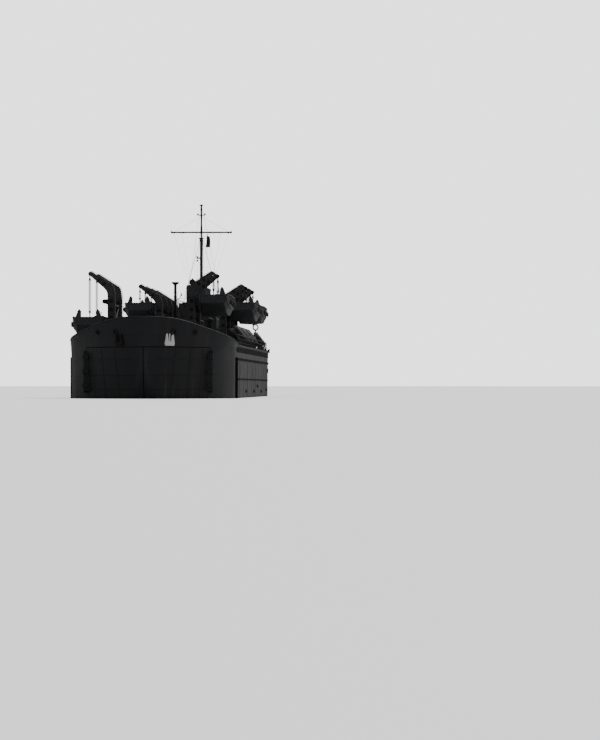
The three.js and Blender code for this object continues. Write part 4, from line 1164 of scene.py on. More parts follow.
def addBoatIron(bm, afloat):
    # skeg, shaft, propeller and rudder under the stern
    addPlate(bm, [afloat(dx, -0.004, z) for dx, z in boat["skeg"]], (0, 0.008, 0))
    addTube(bm, [afloat(-0.39, 0, 0.024), afloat(-0.487, 0, 0.017)], 0.0045, 8)
    for a in (2 * math.pi * k / 3 + 0.4 for k in range(3)):
        d, w = Vector((0, math.cos(a), math.sin(a))), Vector((0.35, -math.sin(a), math.cos(a)))
        addPlate(bm, [afloat(*boat["shaftEnd"]) + d * far + w * wide for far, wide in boat["blade"]],
                 (0.0016, 0, 0))
    addPlate(bm, [afloat(dx, -0.003, z) for dx, z in boat["rudder"]], (0, 0.006, 0))
    # sling plates and legs at the falls, cleats on the gunwale, and sheaves and wires at the ramp's posts
    for e in (-1, 1):
        fall = e * arm["falls"]
        addTurned(bm, afloat(fall, 0, 0.0445), upwards, boat["slingPlate"], 14)
        for f in (-1, 1):
            addTube(bm, [afloat(fall, f * 0.006, 0.150),
                         afloat(fall - 0.03 * e, f * boat["wellHalf"], 0.180)], 0.0028, 6)
            addTurned(bm, afloat(e * 0.25, f * 0.146, boat["deckZ"]), upwards, boat["cleat"], 10)
    for e in (-1, 1):
        addTurned(bm, afloat(0.505, e * boat["posts"], 0.262), (1, 0, 0), boat["rampSheave"], 14)
        addTube(bm, [afloat(0.512, e * 0.099, 0.262), afloat(0.556, e * 0.119, 0.192)], 0.0014, 5)


def addBoatRopes(bm, afloat, side):
    # fenders on their lanyards, the coiled painter and the grab lines along the sides
    for dx in (-0.32, -0.08, 0.17, 0.37):
        y, z = boatSide(dx, 0.9)
        far = side * (y + 0.012)
        addTube(bm, [afloat(dx, side * (y - 0.006), z + 0.016), afloat(dx, far, z + 0.008),
                     afloat(dx, far, z - 0.028)], 0.0012, 5)
        addTurned(bm, afloat(dx, far, z - 0.024), (0, 0, -1), boat["fender"], 12)
    for k in range(5):
        addRing(bm, afloat(-0.505, -0.020, 0.1885 + 0.0028 * k), upwards, 0.024 - 0.001 * (k % 2), 0.0020,
                20, 5)
    for e in (-1, 1):
        path = []
        for k in range(33):
            dx = -0.46 + 0.84 * k / 32
            y, z = boatSide(dx, 0.86)
            path.append(afloat(dx, e * (y + 0.006), z - 0.014 * abs(math.sin(k * math.pi / 4))))
        addTube(bm, path, 0.0014, 5)


for davitName, (side, middle, head, keel, track) in davits.items():
    body = f"davit_{davitName}"
    hangY = side * (head - arm["hang"][0])

    def afloat(dx, y, z, middle=middle, hangY=hangY, keel=keel):
        return Vector((middle + dx, hangY + y, keel + z))

    shell, wood, iron, ropes = [bmesh.new() for k in range(4)]
    addBoatShell(shell, afloat)
    finishPiece(shell, f"boat_fittings_{davitName}", "boat", body, bevel=0.0009)
    addBoatBoards(wood, afloat)
    finishPiece(wood, f"boat_boards_{davitName}", "timber", body, bevel=0.0006)
    addBoatIron(iron, afloat)
    finishPiece(iron, f"boat_iron_{davitName}", "iron", body, bevel=0.0005)
    addBoatRopes(ropes, afloat, side)
    finishPiece(ropes, f"boat_ropes_{davitName}", "manila", body, angle=60)
print("boats fitted out")


# Superstructure: heights of its decks and plans of its parts, as in the part
levels = dict(main=deckZ, house=1.010, bridge=1.250, conning=1.475, conningFloor=1.370)
houseY, bridgeY, conningY = 0.290, 0.230, 0.112
plans = dict(conning=[(-3.40, -0.112), (-3.40, 0.112), (-2.59, 0.112), (-2.54, 0.070), (-2.54, -0.070),
                      (-2.59, -0.112)],
             bridge=[(-4.05, -0.230), (-4.05, 0.230), (-2.40, 0.230), (-2.28, 0.170), (-2.28, -0.170),
                     (-2.40, -0.230)],
             house=[(-4.50, -0.290), (-4.50, 0.290), (-1.50, 0.290), (-1.50, -0.290)])


def wallFrame(normal):
    # the way along a wall and the way out of it
    nx, ny = normal
    return Vector((-ny, nx, 0)), Vector((nx, ny, 0))


def addPanelDoor(bm, x, y, z, normal, wide=0.062, tall=0.150):
    # steel door with rounded corners, six clips and a handle, flat against a wall
    along, out = wallFrame(normal)
    base = Vector((x, y, z))

    def rounded(w, h, r, lift):
        return [base + along * (cx + r * math.cos(a)) + Vector((0, 0, cz + r * math.sin(a) + lift))
                for cx, cz, a0 in ((w / 2 - r, h - r, 0), (-w / 2 + r, h - r, 90), (-w / 2 + r, r, 180),
                                   (w / 2 - r, r, 270))
                for a in (math.radians(a0 + k * 22.5) for k in range(5))]

    addPlate(bm, [p - out * 0.002 for p in rounded(wide + 0.014, tall + 0.014, 0.016, -0.007)], out * 0.0055)
    addPlate(bm, [p - out * 0.001 for p in rounded(wide, tall, 0.012, 0)], out * 0.0085)
    for k in range(3):
        for e in (-1, 1):
            spot = base + along * (e * wide / 2) + Vector((0, 0, tall * (0.17 + 0.33 * k))) + out * 0.006
            addTurned(bm, spot, out, [(0, 0.0035), (0.006, 0.0035)], 8)
            addTube(bm, [spot + out * 0.005, spot + out * 0.005 - along * e * 0.016], 0.0018, 5)
    knob = base + Vector((0, 0, tall * 0.5)) + out * 0.008
    addTube(bm, [knob + along * a + out * b
                 for a, b in ((-0.012, 0), (-0.012, 0.008), (0.012, 0.008), (0.012, 0))], 0.0016, 5)


def addPort(rims, panes, x, y, z, normal, r=0.016):
    along, out = wallFrame(normal)
    c = Vector((x, y, z))
    addTurned(rims, c - out * 0.002, out,
              [(0, r * 1.35), (0.005, r * 1.35), (0.0075, r * 1.18), (0.0075, r * 0.95), (0.0035, r * 0.9),
               (0.003, 0.0005)], 18)
    addTurned(panes, c + out * 0.0008, out, [(0, r * 0.92), (0.0016, r * 0.92)], 18)
    brow = [c + out * 0.005 + along * (math.cos(a) * r * 1.5) + Vector((0, 0, math.sin(a) * r * 1.5))
            for a in np.linspace(0.4, math.pi - 0.4, 7)]
    addTube(rims, brow, 0.0022, 5)


def addLadder(bm, x, y, low, high, way, stand=0.014):
    # an upright ladder on a wall that faces ahead (way 1) or astern (way -1)
    wide, step = 0.034, 0.026
    along, out = wallFrame((way, 0))
    along, out = along * wide / 2, out * stand
    foot, top = Vector((x, y, low)), Vector((x, y, high))
    for e in (-1, 1):
        rail = along * e
        addTube(bm, [foot + out + rail, top + out + rail, top + rail + Vector((0, 0, 0.016)) - out * 0.4,
                     top + rail - out * 0.8], 0.0026, 6)
    count = int((top - foot).length / step)
    for k in range(1, count + 1):
        p = foot.lerp(top, k / (count + 0.5)) + out
        addTube(bm, [p - along, p + along], 0.0017, 5)
    for t in (0.15, 0.85):
        for e in (-1, 1):
            p = foot.lerp(top, t) + along * e
            addTube(bm, [p - out * 0.3, p + out], 0.0020, 5)


# doors, side lights and ladders: where they stand along the ship, and their heights
openings = dict(sideDoors=(-1.86, -2.95, -3.98), doorZ=0.792, bridgeDoorZ=1.030,
                housePorts=(-1.66, -2.05, -2.25, -2.45, -2.65, -3.15, -3.35, -3.55, -3.85),
                housePortZ=0.925, bridgePorts=(-2.52, -2.68, -2.84, -3.10, -3.26, -3.42, -3.58, -3.94),
                bridgePortZ=1.165, aftPorts=(-4.28, -4.40), conningPorts=(-2.70, -2.92, -3.14, -3.30),
                frontPorts=(-0.13, -0.065, 0.0, 0.07))
doorsMesh, rims, panes, ladders = [bmesh.new() for k in range(4)]
for y in (-0.17, 0.17):
    addPanelDoor(doorsMesh, -1.5, y, openings["doorZ"], (1, 0))
for side in (1, -1):
    for x in openings["sideDoors"]:
        addPanelDoor(doorsMesh, x, side * houseY, openings["doorZ"], (0, side))
    for x in openings["housePorts"]:
        addPort(rims, panes, x, side * houseY, openings["housePortZ"], (0, side))
    addPanelDoor(doorsMesh, -3.80, side * bridgeY, openings["bridgeDoorZ"], (0, side))
    for x in openings["bridgePorts"]:
        addPort(rims, panes, x, side * bridgeY, openings["bridgePortZ"], (0, side), 0.014)
    for x in openings["aftPorts"]:
        addPort(rims, panes, x, side * 0.430, 0.91, (0, side), 0.014)
    addLadder(ladders, -1.5, side * 0.262, levels["main"], levels["house"], 1)
    addLadder(ladders, -4.5, side * 0.20, levels["main"], levels["house"], -1)
    addLadder(ladders, -4.05, side * 0.13, levels["house"], levels["bridge"], -1)
for y in (-0.06, 0.06):
    addPort(rims, panes, -1.5, y, openings["housePortZ"], (1, 0))
addPanelDoor(doorsMesh, -4.05, 0, openings["bridgeDoorZ"], (-1, 0))
addPanelDoor(doorsMesh, -4.5, 0, openings["doorZ"], (-1, 0))
addLadder(ladders, -2.28, 0.135, levels["house"], levels["bridge"], 1)
addLadder(ladders, -3.40, 0.075, levels["bridge"], levels["conning"], -1)
for y in openings["frontPorts"]:
    addPort(rims, panes, -2.28, y, openings["bridgePortZ"], (1, 0), 0.015)
for e in (-1, 1):
    addPort(rims, panes, -2.34, e * 0.200, openings["bridgePortZ"], (0.447 ** 0.5 * 0.669, e * 0.894), 0.013)
for x in openings["conningPorts"]:
    for side in (1, -1):
        addPort(rims, panes, x, side * conningY, 1.335, (0, side), 0.012)
finishPiece(doorsMesh, "house_doors", "house", bevel=0.0008)
finishPiece(rims, "house_port_rims", "davit", angle=50)
finishPiece(panes, "house_port_glass", "glass")
finishPiece(ladders, "house_ladders", "davit", angle=60)


def addMoulding(bm, corners, z, out=0.007, tall=0.014):
    # a lip round a roof: corners in order, closed
    ring = [Vector((x, y, 0)) for x, y in corners]
    count = len(ring)
    middle = sum(ring, Vector()) / count
    points = []
    for i, p in enumerate(ring):
        a, b = (p - ring[i - 1]).normalized(), (ring[(i + 1) % count] - p).normalized()
        n1, n2 = Vector((a.y, -a.x, 0)), Vector((b.y, -b.x, 0))
        if (p + n1 * 0.01 - middle).length < (p - middle).length and n1.dot(p - middle) < 0:
            n1, n2 = -n1, -n2
        bis = (n1 + n2).normalized()
        lean = max(0.4, bis.dot(n1))
        for away, dz in ((-0.006, -tall), (out, -tall), (out, 0.003), (-0.006, 0.003)):
            points.append(p + bis * away / lean + Vector((0, 0, z + dz)))
    faces = [(4 * i + k, 4 * i + (k + 1) % 4, 4 * ((i + 1) % count) + (k + 1) % 4,
              4 * ((i + 1) % count) + k) for i in range(count) for k in range(4)]
    addForm(bm, points, faces)


# lips round the roofs and walls, then upright stiffeners: spots, distance out, heights
lips = (("house", levels["house"]), ("bridge", levels["bridge"]),
        ("conning", levels["conning"], 0.006, 0.010), ("conning", 1.372, 0.004, 0.006),
        ("house", 0.785, 0.005, 0.010))
stiffeners = ((np.arange(-4.42, -1.55, 0.145), (0.289, 0.2945), (0.785, 0.885)),
              (np.arange(-3.36, -2.6, 0.09), (0.111, 0.1155), (1.378, 1.468)))
bm = bmesh.new()
for plan, *lip in lips:
    addMoulding(bm, plans[plan], *lip)
for side in (1, -1):
    for spots, ys, zs in stiffeners:
        for x in spots:
            # those of the house stay clear of its doors
            if ys[0] < bridgeY or min(abs(x - d) for d in openings["sideDoors"]) > 0.05:
                addSideBox(bm, side, (x - 0.002, x + 0.002), ys, zs)
finishPiece(bm, "house_mouldings", "house", bevel=0.0008)

roofRails = dict(high=0.1, house=[(-2.20, -1.517), (-4.10, -4.484)], houseY=0.274,
                 bridge=[[(-4.038, 0.218)], [(-2.404, 0.218), (-2.292, 0.160)]], bridgeFrom=(-3.46, 0.218))
bm = bmesh.new()
for x0, x1 in roofRails["house"]:
    y = roofRails["houseY"]
    addRail(bm, [(x, e * y, levels["house"]) for x, e in ((x0, -1), (x1, -1), (x1, 1), (x0, 1))],
            roofRails["high"])
for turns in roofRails["bridge"]:
    half = [roofRails["bridgeFrom"]] + turns
    path = [(x, -y) for x, y in half] + half[::-1]
    addRail(bm, [(x, y, levels["bridge"]) for x, y in path], roofRails["high"])
finishPiece(bm, "roof_rails", "wire", angle=60)

# conning station: windscreen, binnacle, voice pipes, chart table and two round sighting stands
conning = dict(front=[(-2.585, -0.109), (-2.541, -0.068), (-2.541, 0.068), (-2.585, 0.109)],
               screen=(1.470, 1.500),
               binnacle=[(0, 0.020), (0.006, 0.020), (0.008, 0.013), (0.060, 0.013), (0.064, 0.019),
                         (0.086, 0.019), (0.098, 0.012), (0.102, 0.003)],
               sight=[(0, 0.014), (0.005, 0.014), (0.007, 0.006), (0.085, 0.006), (0.087, 0.013),
                      (0.099, 0.013), (0.101, 0.009)])
bm = bmesh.new()
low, high = conning["screen"]
for (x0, y0), (x1, y1) in zip(conning["front"], conning["front"][1:]):
    addPlate(bm, [(x0, y0, low), (x1, y1, low), (x1 + 0.010, y1, high), (x0 + 0.010, y0, high)],
             (0.0022, 0, 0))
addTube(bm, [(x + 0.010, y, high + 0.001) for x, y in conning["front"]], 0.0028, 6)
z = levels["conningFloor"]
addTurned(bm, (-2.72, 0.0, z), upwards, conning["binnacle"], 18)
for e in (-1, 1):
    addTurned(bm, (-2.72, e * 0.025, z + 0.074), upwards, [(-0.007, 0.004), (0, 0.0075), (0.007, 0.004)], 12)
for y in (-0.05, 0.05, 0.07):
    addTube(bm, [(-2.64, y, z), (-2.64, y, z + 0.085), (-2.65, y, z + 0.098)], 0.003, 8)
    addTurned(bm, (-2.65, y, z + 0.096), (-0.6, 0, 0.8), [(0, 0.003), (0.012, 0.007), (0.013, 0.0045)], 12)
addBox(bm, (-3.02, 0.028, z + 0.050), (-2.90, 0.094, z + 0.064))
for x in (-3.01, -2.91):
    for y in (0.036, 0.086):
        addTube(bm, [(x, y, z - 0.002), (x, y, z + 0.051)], 0.003, 6)
for y in (-0.07, 0.07):
    addTurned(bm, (-3.20, y, z), upwards, conning["sight"], 14)
finishPiece(bm, "conning_fittings", "davit", bevel=0.0006, angle=45)


def addChest(bm, x, y, z, half, tall, lid, lip):
    # a box with a lid that laps over it
    addBox(bm, (x - half[0], y - half[1], z), (x + half[0], y + half[1], z + tall))
    addBox(bm, (x - half[0] - lip, y - half[1] - lip, z + tall),
           (x + half[0] + lip, y + half[1] + lip, z + tall + lid))


# flag lockers with their pigeon-holes abaft the bridge front, and lockers on the roofs
lockers = dict(flagX=(-3.34, -3.20), flagY=0.165, foot=1.2495, pigeon=(0.028, 0.026), pitch=(0.033, 0.031),
               foreX=(-2.56, -2.46),
               roof=((-1.62, 0.10), (-1.62, -0.05), (-4.30, 0.0), (-4.20, 0.14), (-4.20, -0.14)))
bm = bmesh.new()
z = lockers["foot"]
for y in (-lockers["flagY"], lockers["flagY"]):
    (x0, x1), (f0, f1) = lockers["flagX"], lockers["foreX"]
    addBox(bm, (x0, y - 0.030, z), (x1, y + 0.030, 1.322))
    for k in range(3):
        for m in range(2):
            px, pz = x0 + 0.008 + lockers["pitch"][0] * k, 1.258 + lockers["pitch"][1] * m
            addBox(bm, (px, y - 0.033, pz), (px + lockers["pigeon"][0], y + 0.033, pz + lockers["pigeon"][1]))
    addBox(bm, (x0 - 0.005, y - 0.034, 1.322), (x1 + 0.005, y + 0.034, 1.328))
    addBox(bm, (f0, y - 0.022, z), (f1, y + 0.022, 1.296))
    addBox(bm, (f0 - 0.005, y - 0.026, 1.296), (f1 + 0.005, y + 0.026, 1.302))
for x, y in lockers["roof"]:
    addChest(bm, x, y, levels["house"] - 0.001, (0.045, 0.030), 0.046, 0.006, 0.004)
finishPiece(bm, "deck_lockers", "house", bevel=0.0015)

# mushroom vents (x, y, radius, height), then the exhaust's straps and rain guard with the whistle beside it
ventSpots = dict(house=((-1.70, 0.20, 0.026, 0.12), (-1.70, -0.20, 0.026, 0.12), (-2.05, 0.08, 0.022, 0.10),
                        (-4.35, 0.22, 0.024, 0.10), (-4.35, -0.22, 0.024, 0.10),
                        (-1.90, -0.02, 0.030, 0.09)),
                 bridge=((-2.62, 0.185), (-3.70, 0.10), (-3.70, -0.10), (-3.90, 0.0)),
                 deck=(2.75, 1.55, 0.35, -0.75, -1.25), deckY=0.30)
exhaust = dict(at=(-2.0, -0.192), straps=(1.03, 1.20, 1.36), whistleY=-0.128)
bm = bmesh.new()
for x, y, r, tall in ventSpots["house"]:
    addVent(bm, x, y, levels["house"] - 0.002, r, tall)
for x, y in ventSpots["bridge"]:
    addVent(bm, x, y, levels["bridge"] - 0.002, 0.018, 0.08)
for side in (1, -1):
    for x in ventSpots["deck"]:
        addVent(bm, x, side * ventSpots["deckY"], deckZ - 0.002, 0.022, 0.10)
px, py = exhaust["at"]
for z in exhaust["straps"]:
    addTurned(bm, (px, py, z), upwards, [(0, 0.0175), (0.008, 0.0175)], 16)
addTurned(bm, (px, py, 1.012), upwards, [(0, 0.032), (0.006, 0.032), (0.010, 0.018)], 18)
addTube(bm, [(px, py + 0.010, 1.318), (px, -0.158, 1.332), (px, exhaust["whistleY"], 1.368)], 0.0035, 8)
addTurned(bm, (px, exhaust["whistleY"], 1.366), upwards,
          [(0, 0.005), (0.006, 0.008), (0.028, 0.008), (0.034, 0.004)], 12)
addTube(bm, [(px, py + 0.012, 1.28), (px, -0.12, 1.20), (px, -0.08, 1.012)], 0.0022, 6)
finishPiece(bm, "roof_vents_and_whistle", "iron", angle=50)

# signal lamp: rims, shutters, yoke and grips, all from the middle of its drum
lamp = dict(at=Vector((-2.9, -0.062, 1.545)), rims=((-0.031, 0.034), (0.024, 0.0345)), shutters=7,
            pitch=0.008,
            yoke=((0, -0.032, 0), (0, -0.040, 0), (0, -0.040, -0.030), (0, 0, -0.044), (0, 0.040, -0.030),
                  (0, 0.040, 0), (0, 0.032, 0)),
            grip=((-0.030, 0, 0.012), (-0.050, 0, 0.012), (-0.050, 0, -0.010)),
            cap=[(0, 0.008), (0.008, 0.008), (0.010, 0.011), (0.013, 0.011), (0.014, 0.004)])
bm = bmesh.new()
for dx, r in lamp["rims"]:
    addTurned(bm, lamp["at"] + Vector((dx, 0, 0)), (1, 0, 0), [(0, r), (0.007, r)], 24)
for k in range(lamp["shutters"]):
    z = (k - 3) * lamp["pitch"]
    half = math.sqrt(0.031 ** 2 - z ** 2)
    addPlate(bm, [lamp["at"] + Vector(p)
                  for p in ((0.0295, -half, z - 0.003), (0.0295, half, z - 0.003),
                            (0.0335, half, z + 0.003), (0.0335, -half, z + 0.003))], (0.001, 0, 0))
addTube(bm, [lamp["at"] + Vector(p) for p in lamp["yoke"]], 0.003, 6)
addTube(bm, [lamp["at"] + Vector(p) for p in lamp["grip"]], 0.0025, 6)
addTurned(bm, lamp["at"] + Vector((0, 0, 0.030)), upwards, lamp["cap"], 14)
finishPiece(bm, "signal_lamp_fittings", "davit", bevel=0.0005, angle=45)
print("superstructure dressed")

# Mast: bands, rungs and lamps with the yard's fittings, then the rigging
mast = dict(x=-3.5, bands=((1.26, 0.030), (1.55, 0.0195), (1.83, 0.0195), (2.02, 0.0195)), pole=2.05,
            rungs=(1.36, 2.40, 0.034), yard=Vector((-3.4807, 0, 2.125)), lampArm=0.03,
            lamps=((0, -0.048, 1.846), (0, -0.048, 1.806), (0, 0.040, 2.328), (0, -0.040, 2.328),
                   (0.03, 0, 2.200)),
            lamp=[(0, 0.004), (0.003, 0.009), (0.018, 0.009), (0.022, 0.011), (0.024, 0.004)],
            blocks=(-0.31, -0.22, 0.14, 0.22, 0.31))
mx, yard = mast["x"], mast["yard"]
bm = bmesh.new()
for z, r in mast["bands"]:
    addTurned(bm, (mx, 0, z), upwards, [(0, r), (0.010, r)], 20)
for z, profile in ((2.112, [(0, 0.0125), (0.026, 0.0125)]), (2.400, [(0, 0.0125), (0.008, 0.0125)]),
                   (2.4365, [(0, 0.012), (0.004, 0.009), (0.007, 0.002)])):
    addTurned(bm, (mx, 0, z), upwards, profile, 16)
for k, z in enumerate(np.arange(*mast["rungs"])):
    e, r = 1 if k % 2 else -1, 0.0175 if z < mast["pole"] else 0.010
    addTube(bm, [(mx + dx, e * (r + out), z)
                 for dx, out in ((-0.005, -0.003), (-0.005, 0.007), (0.005, 0.007), (0.005, -0.003))],
            0.0010, 5)
for dx, y, z in mast["lamps"]:
    addTurned(bm, (mx + dx, y, z - 0.012), upwards, mast["lamp"], 14)
addTube(bm, [(mx, 0, 2.195), (mx + mast["lampArm"], 0, 2.190)], 0.003, 6)
# yard: bands, end caps and blocks
for y in np.arange(-0.30, 0.31, 0.10):
    addTurned(bm, yard + Vector((0, y - 0.004, 0)), (0, 1, 0), [(0, 0.0108), (0.008, 0.0108)], 12)
for e in (-1, 1):
    addTurned(bm, yard + Vector((0, e * 0.345, 0)), (0, e, 0),
              [(-0.002, 0.0100), (0.001, 0.0100), (0.003, 0.006)], 12)
for y in mast["blocks"]:
    addTurned(bm, yard + Vector((0, y - 0.003, -0.018)), (0, 1, 0), [(0, 0.006), (0.006, 0.006)], 10)
    addTube(bm, [yard + Vector((0, y, -0.008)), yard + Vector((0, y, -0.014))], 0.0015, 5)
finishPiece(bm, "mast_fittings", "mast", angle=50)


def addStay(bm, a, b, r=0.0013, sag=0.0):
    a, b = Vector(a), Vector(b)
    path = [a.lerp(b, t) - Vector((0, 0, sag * 4 * t * (1 - t))) for t in np.linspace(0, 1, 9 if sag else 2)]
    addTube(bm, path, r, 5)


bm = bmesh.new()
for side in (1, -1):
    for dx in (-0.05, 0.10):
        addStay(bm, (mx, side * 0.017, 2.045), (mx + dx, side * 0.222, 1.252))
    addStay(bm, (mx, side * 0.010, 2.392), (-4.03, side * 0.215, 1.252))
    addStay(bm, (yard.x, side * 0.330, 2.118), (mx, side * 0.010, 2.300))
    for y, foot in ((0.31, 0.105), (0.22, 0.095)):
        addStay(bm, (yard.x, side * y, 2.102), (-3.36, side * foot, 1.470), 0.0009, 0.004)
addStay(bm, (mx + 0.014, 0, 2.30), (-2.545, 0, 1.500))
addStay(bm, (mx - 0.014, 0, 2.40), (-4.49, 0, 1.112))
for side in (1, -1):
    for x, spread in ((-1.62, 0.082), (-2.26, 0.075)):
        addStay(bm, (px, py, 1.49), (x, py + side * spread, 1.011), 0.0011)
finishPiece(bm, "mast_rigging", "wire", angle=60)

# Signal flag: a small sheet hanging limp from its halyard in upright folds
flag = dict(hoist=0.130, fly=0.120, folds=7, top=2.085, at=(-3.4807, 0.075), columns=85, rows=27,
            thick=0.0006, toggle=[(0, 0.001), (0.002, 0.003), (0.006, 0.003), (0.008, 0.001)])
fx, fy = flag["at"]


def flagRow(v, columns):
    # one row across the folded cloth, at v from its top (0) to its foot (1), gathered round its middle
    line, p = [], Vector((0.0, 0.0))
    for i in range(columns):
        u = i / (columns - 1)
        swing = math.radians(83 - 9 * v + 3 * math.sin(3 * v + 6 * u))
        turn = math.cos(math.pi * flag["folds"] * u)
        soft = swing * math.copysign(abs(turn) ** 0.2, turn) if abs(turn) > 1e-6 else 0.0
        if i:
            p = p + Vector((math.cos(soft), math.sin(soft))) * flag["fly"] / (columns - 1)
        line.append(p.copy())
    centre = sum(line, Vector((0, 0))) / columns
    for i, q in enumerate(line):
        u, q = i / (columns - 1), q - centre * 0.92
        yield (fx + q.y + 0.002 * math.sin(7 * v + 4 * u), fy + q.x + 0.003 * math.sin(4 * v),
               flag["top"] - flag["hoist"] * v - 0.004 * u * (1 - v))


bm = bmesh.new()
columns, rows = flag["columns"], flag["rows"]
points = [p for j in range(rows) for p in flagRow(j / (rows - 1), columns)]
addForm(bm, points, [(a, a + 1, a + columns + 1, a + columns)
                     for a in (j * columns + i for j in range(rows - 1) for i in range(columns - 1))])
flagPiece = finishPiece(bm, "flag_cloth", "bunting", angle=180)
thick = flagPiece.modifiers.new("clothThickness", "SOLIDIFY")
thick.thickness, thick.offset = flag["thick"], 0.0
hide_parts("signal_flag")
bm = bmesh.new()
addTube(bm, [(fx, fy - 0.004, 2.108), (fx, fy - 0.006, flag["top"] - 0.002), (fx, fy - 0.008, 1.953),
             (fx + 0.03, fy - 0.012, 1.80), (-3.37, 0.085, 1.470)], 0.0011, 5)
for z in (flag["top"] + 0.003, 1.950):
    addTurned(bm, (fx, fy - 0.0065, z - 0.003), upwards, flag["toggle"], 8)
addTurned(bm, (fx, fy - 0.003, 2.104), (0, 1, 0), [(0, 0.006), (0.006, 0.006)], 10)
finishPiece(bm, "flag_halyard", "wire", angle=60)
print("mast rigged")

# Splinter shields round the empty platforms: rims, ribs, knees beneath the floor and a base ring.
# Each is (x, radius, floor, rim, radius inside the knees)
shields = ((4.56, 0.120, 0.930, 1.010, 0.032), (-4.68, 0.130, 0.930, 1.000, 0.068))
bm = bmesh.new()
for cx, r, low, high, rIn in shields:
    addRing(bm, (cx, 0, high), upwards, r - 0.005, 0.0045, 40, 6)
    addRing(bm, (cx, 0, low + 0.004), upwards, r, 0.0035, 40, 6)
    rib = ((r - 0.001, low + 0.006), (r + 0.005, low + 0.010), (r + 0.002, high - 0.008),
           (r - 0.001, high - 0.004))
    knee = ((rIn, low - 0.055), (rIn, low + 0.002), (r - 0.012, low + 0.002), (r - 0.012, low - 0.006))
    for outline, count, start in ((rib, 16, 0.5), (knee, 8, 0)):
        for a in (2 * math.pi * (k + start) / count for k in range(count)):
            d, t = Vector((math.cos(a), math.sin(a), 0)), Vector((-math.sin(a), math.cos(a), 0))
            addPlate(bm, [Vector((cx, 0, z)) + d * far - t * 0.0015 for far, z in outline], t * 0.003)
    addTurned(bm, (cx, 0, low + 0.010), upwards,
              [(-0.001, 0.052), (0.004, 0.052), (0.006, 0.046), (0.010, 0.020)], 28)
addLadder(bm, 4.44, 0.0, foredeckAt(4.44), 1.004, -1, 0.010)
addLadder(bm, -4.55, 0.0, deckZ, 0.996, 1, 0.008)
finishPiece(bm, "shield_fittings", "house", bevel=0.0006)

# stern: the anchor winch's brake wheels, wire and gear case, the roller, guides and the anchor's wire
stern = dict(winchX=-4.90, winchZ=0.826, turns=26, pitch=0.0066, rollerX=-4.985,
             wheel=[(0, 0.030), (0.005, 0.040), (0.012, 0.040), (0.016, 0.018), (0.034, 0.015),
                    (0.044, 0.024), (0.047, 0.024)],
             roller=[(0, 0.020), (0.006, 0.020), (0.010, 0.013), (0.110, 0.013), (0.114, 0.020),
                     (0.120, 0.020)],
             cheek=((-4.995, 0.766), (-4.955, 0.766), (-4.960, 0.800), (-4.990, 0.800)),
             wire=[(-4.925, 0.0, 0.858), (-4.985, 0.0, 0.800), (-5.004, 0.0, 0.780), (-5.012, 0.0, 0.716)],
             guide=((-5.001, 0.075, 0.745), (-5.016, 0.075, 0.700), (-5.020, 0.055, 0.600),
                    (-5.002, 0.050, 0.560)), outletY=0.30, outlets=(0.50, 0.46, 0.42),
             outlet=[(-0.002, 0.014), (0.004, 0.014), (0.006, 0.010), (0.006, 0.004), (0.003, 0.001)])
bm = bmesh.new()
for e in (-1, 1):
    addTurned(bm, (stern["winchX"], e * 0.112, stern["winchZ"]), (0, e, 0), stern["wheel"], 22)
for k in range(stern["turns"]):
    addRing(bm, (stern["winchX"], -0.082 + k * stern["pitch"], stern["winchZ"]), (0, 1, 0), 0.0375, 0.0029,
            26, 5)
addBox(bm, (-4.845, -0.040, 0.789), (-4.795, 0.040, 0.835))
addTurned(bm, (-4.82, -0.030, 0.835), upwards, [(0, 0.010), (0.018, 0.010), (0.020, 0.014), (0.023, 0.014)],
          12)
addTurned(bm, (stern["rollerX"], -0.060, 0.785), (0, 1, 0), stern["roller"], 18)
for e in (-1, 1):
    addPlate(bm, [(x, e * 0.066, z) for x, z in stern["cheek"]], (0, e * 0.006, 0))
addTube(bm, stern["wire"], 0.0035, 8)
for e in (-1, 1):
    addTube(bm, [(x, e * y, z) for x, y, z in stern["guide"]], 0.0055, 8)
    for z in stern["outlets"]:
        addTurned(bm, (-5.0, e * stern["outletY"], z), (-1, 0, 0), stern["outlet"], 14)
finishPiece(bm, "stern_gear", "iron", angle=50)

# hatch: battens, side cleats with their bars, lifting rings and corner plates
hatch = dict(battens=(0.74, 1.50, 0.08), cleats=(0.72, 1.50, 0.06), rings=(0.86, 1.34), ends=(0.689, 1.505))
bm = bmesh.new()
for x in np.arange(*hatch["battens"]):
    addBox(bm, (x - 0.003, -0.2225, 0.797), (x + 0.003, 0.2225, 0.8145))
for side in (1, -1):
    addSideBox(bm, side, (0.70, 1.50), (0.2085, 0.2145), (0.775, 0.782))
    for x in np.arange(*hatch["cleats"]):
        addSideBox(bm, side, (x - 0.004, x + 0.004), (0.209, 0.222), (0.776, 0.796))
    for x in hatch["rings"]:
        addRing(bm, (x, side * 0.12, 0.8175), upwards, 0.012, 0.0022, 16, 5)
for x in hatch["ends"]:
    for y in (-0.205, 0.19):
        addBox(bm, (x - 0.002, y, 0.799), (x + 0.008, y + 0.015, 0.8135))
finishPiece(bm, "hatch_battens", "iron", bevel=0.0006)

# lashing cloverleaves over the main deck, clear of the hatch and the forward davits' tracks
lashing = dict(xs=(-1.25, 3.5, 0.22), ys=(-0.66, 0.67, 0.165),
               profile=[(0, 0.011), (0.0022, 0.010), (0.0024, 0.005), (0.0012, 0.0045), (0.0012, 0.0005)])
bm = bmesh.new()
for x in np.arange(*lashing["xs"]):
    for y in np.arange(*lashing["ys"]):
        onHatch = 0.66 < x < 1.54 and abs(y) < 0.25
        onTrack = abs(abs(x - 2.2) - arm["span"]) < 0.05 and abs(y) > 0.15
        if not onHatch and not onTrack:
            addTurned(bm, (x, y, deckZ - 0.0005), upwards, lashing["profile"], 8)
finishPiece(bm, "lashing_points", "iron", angle=50)

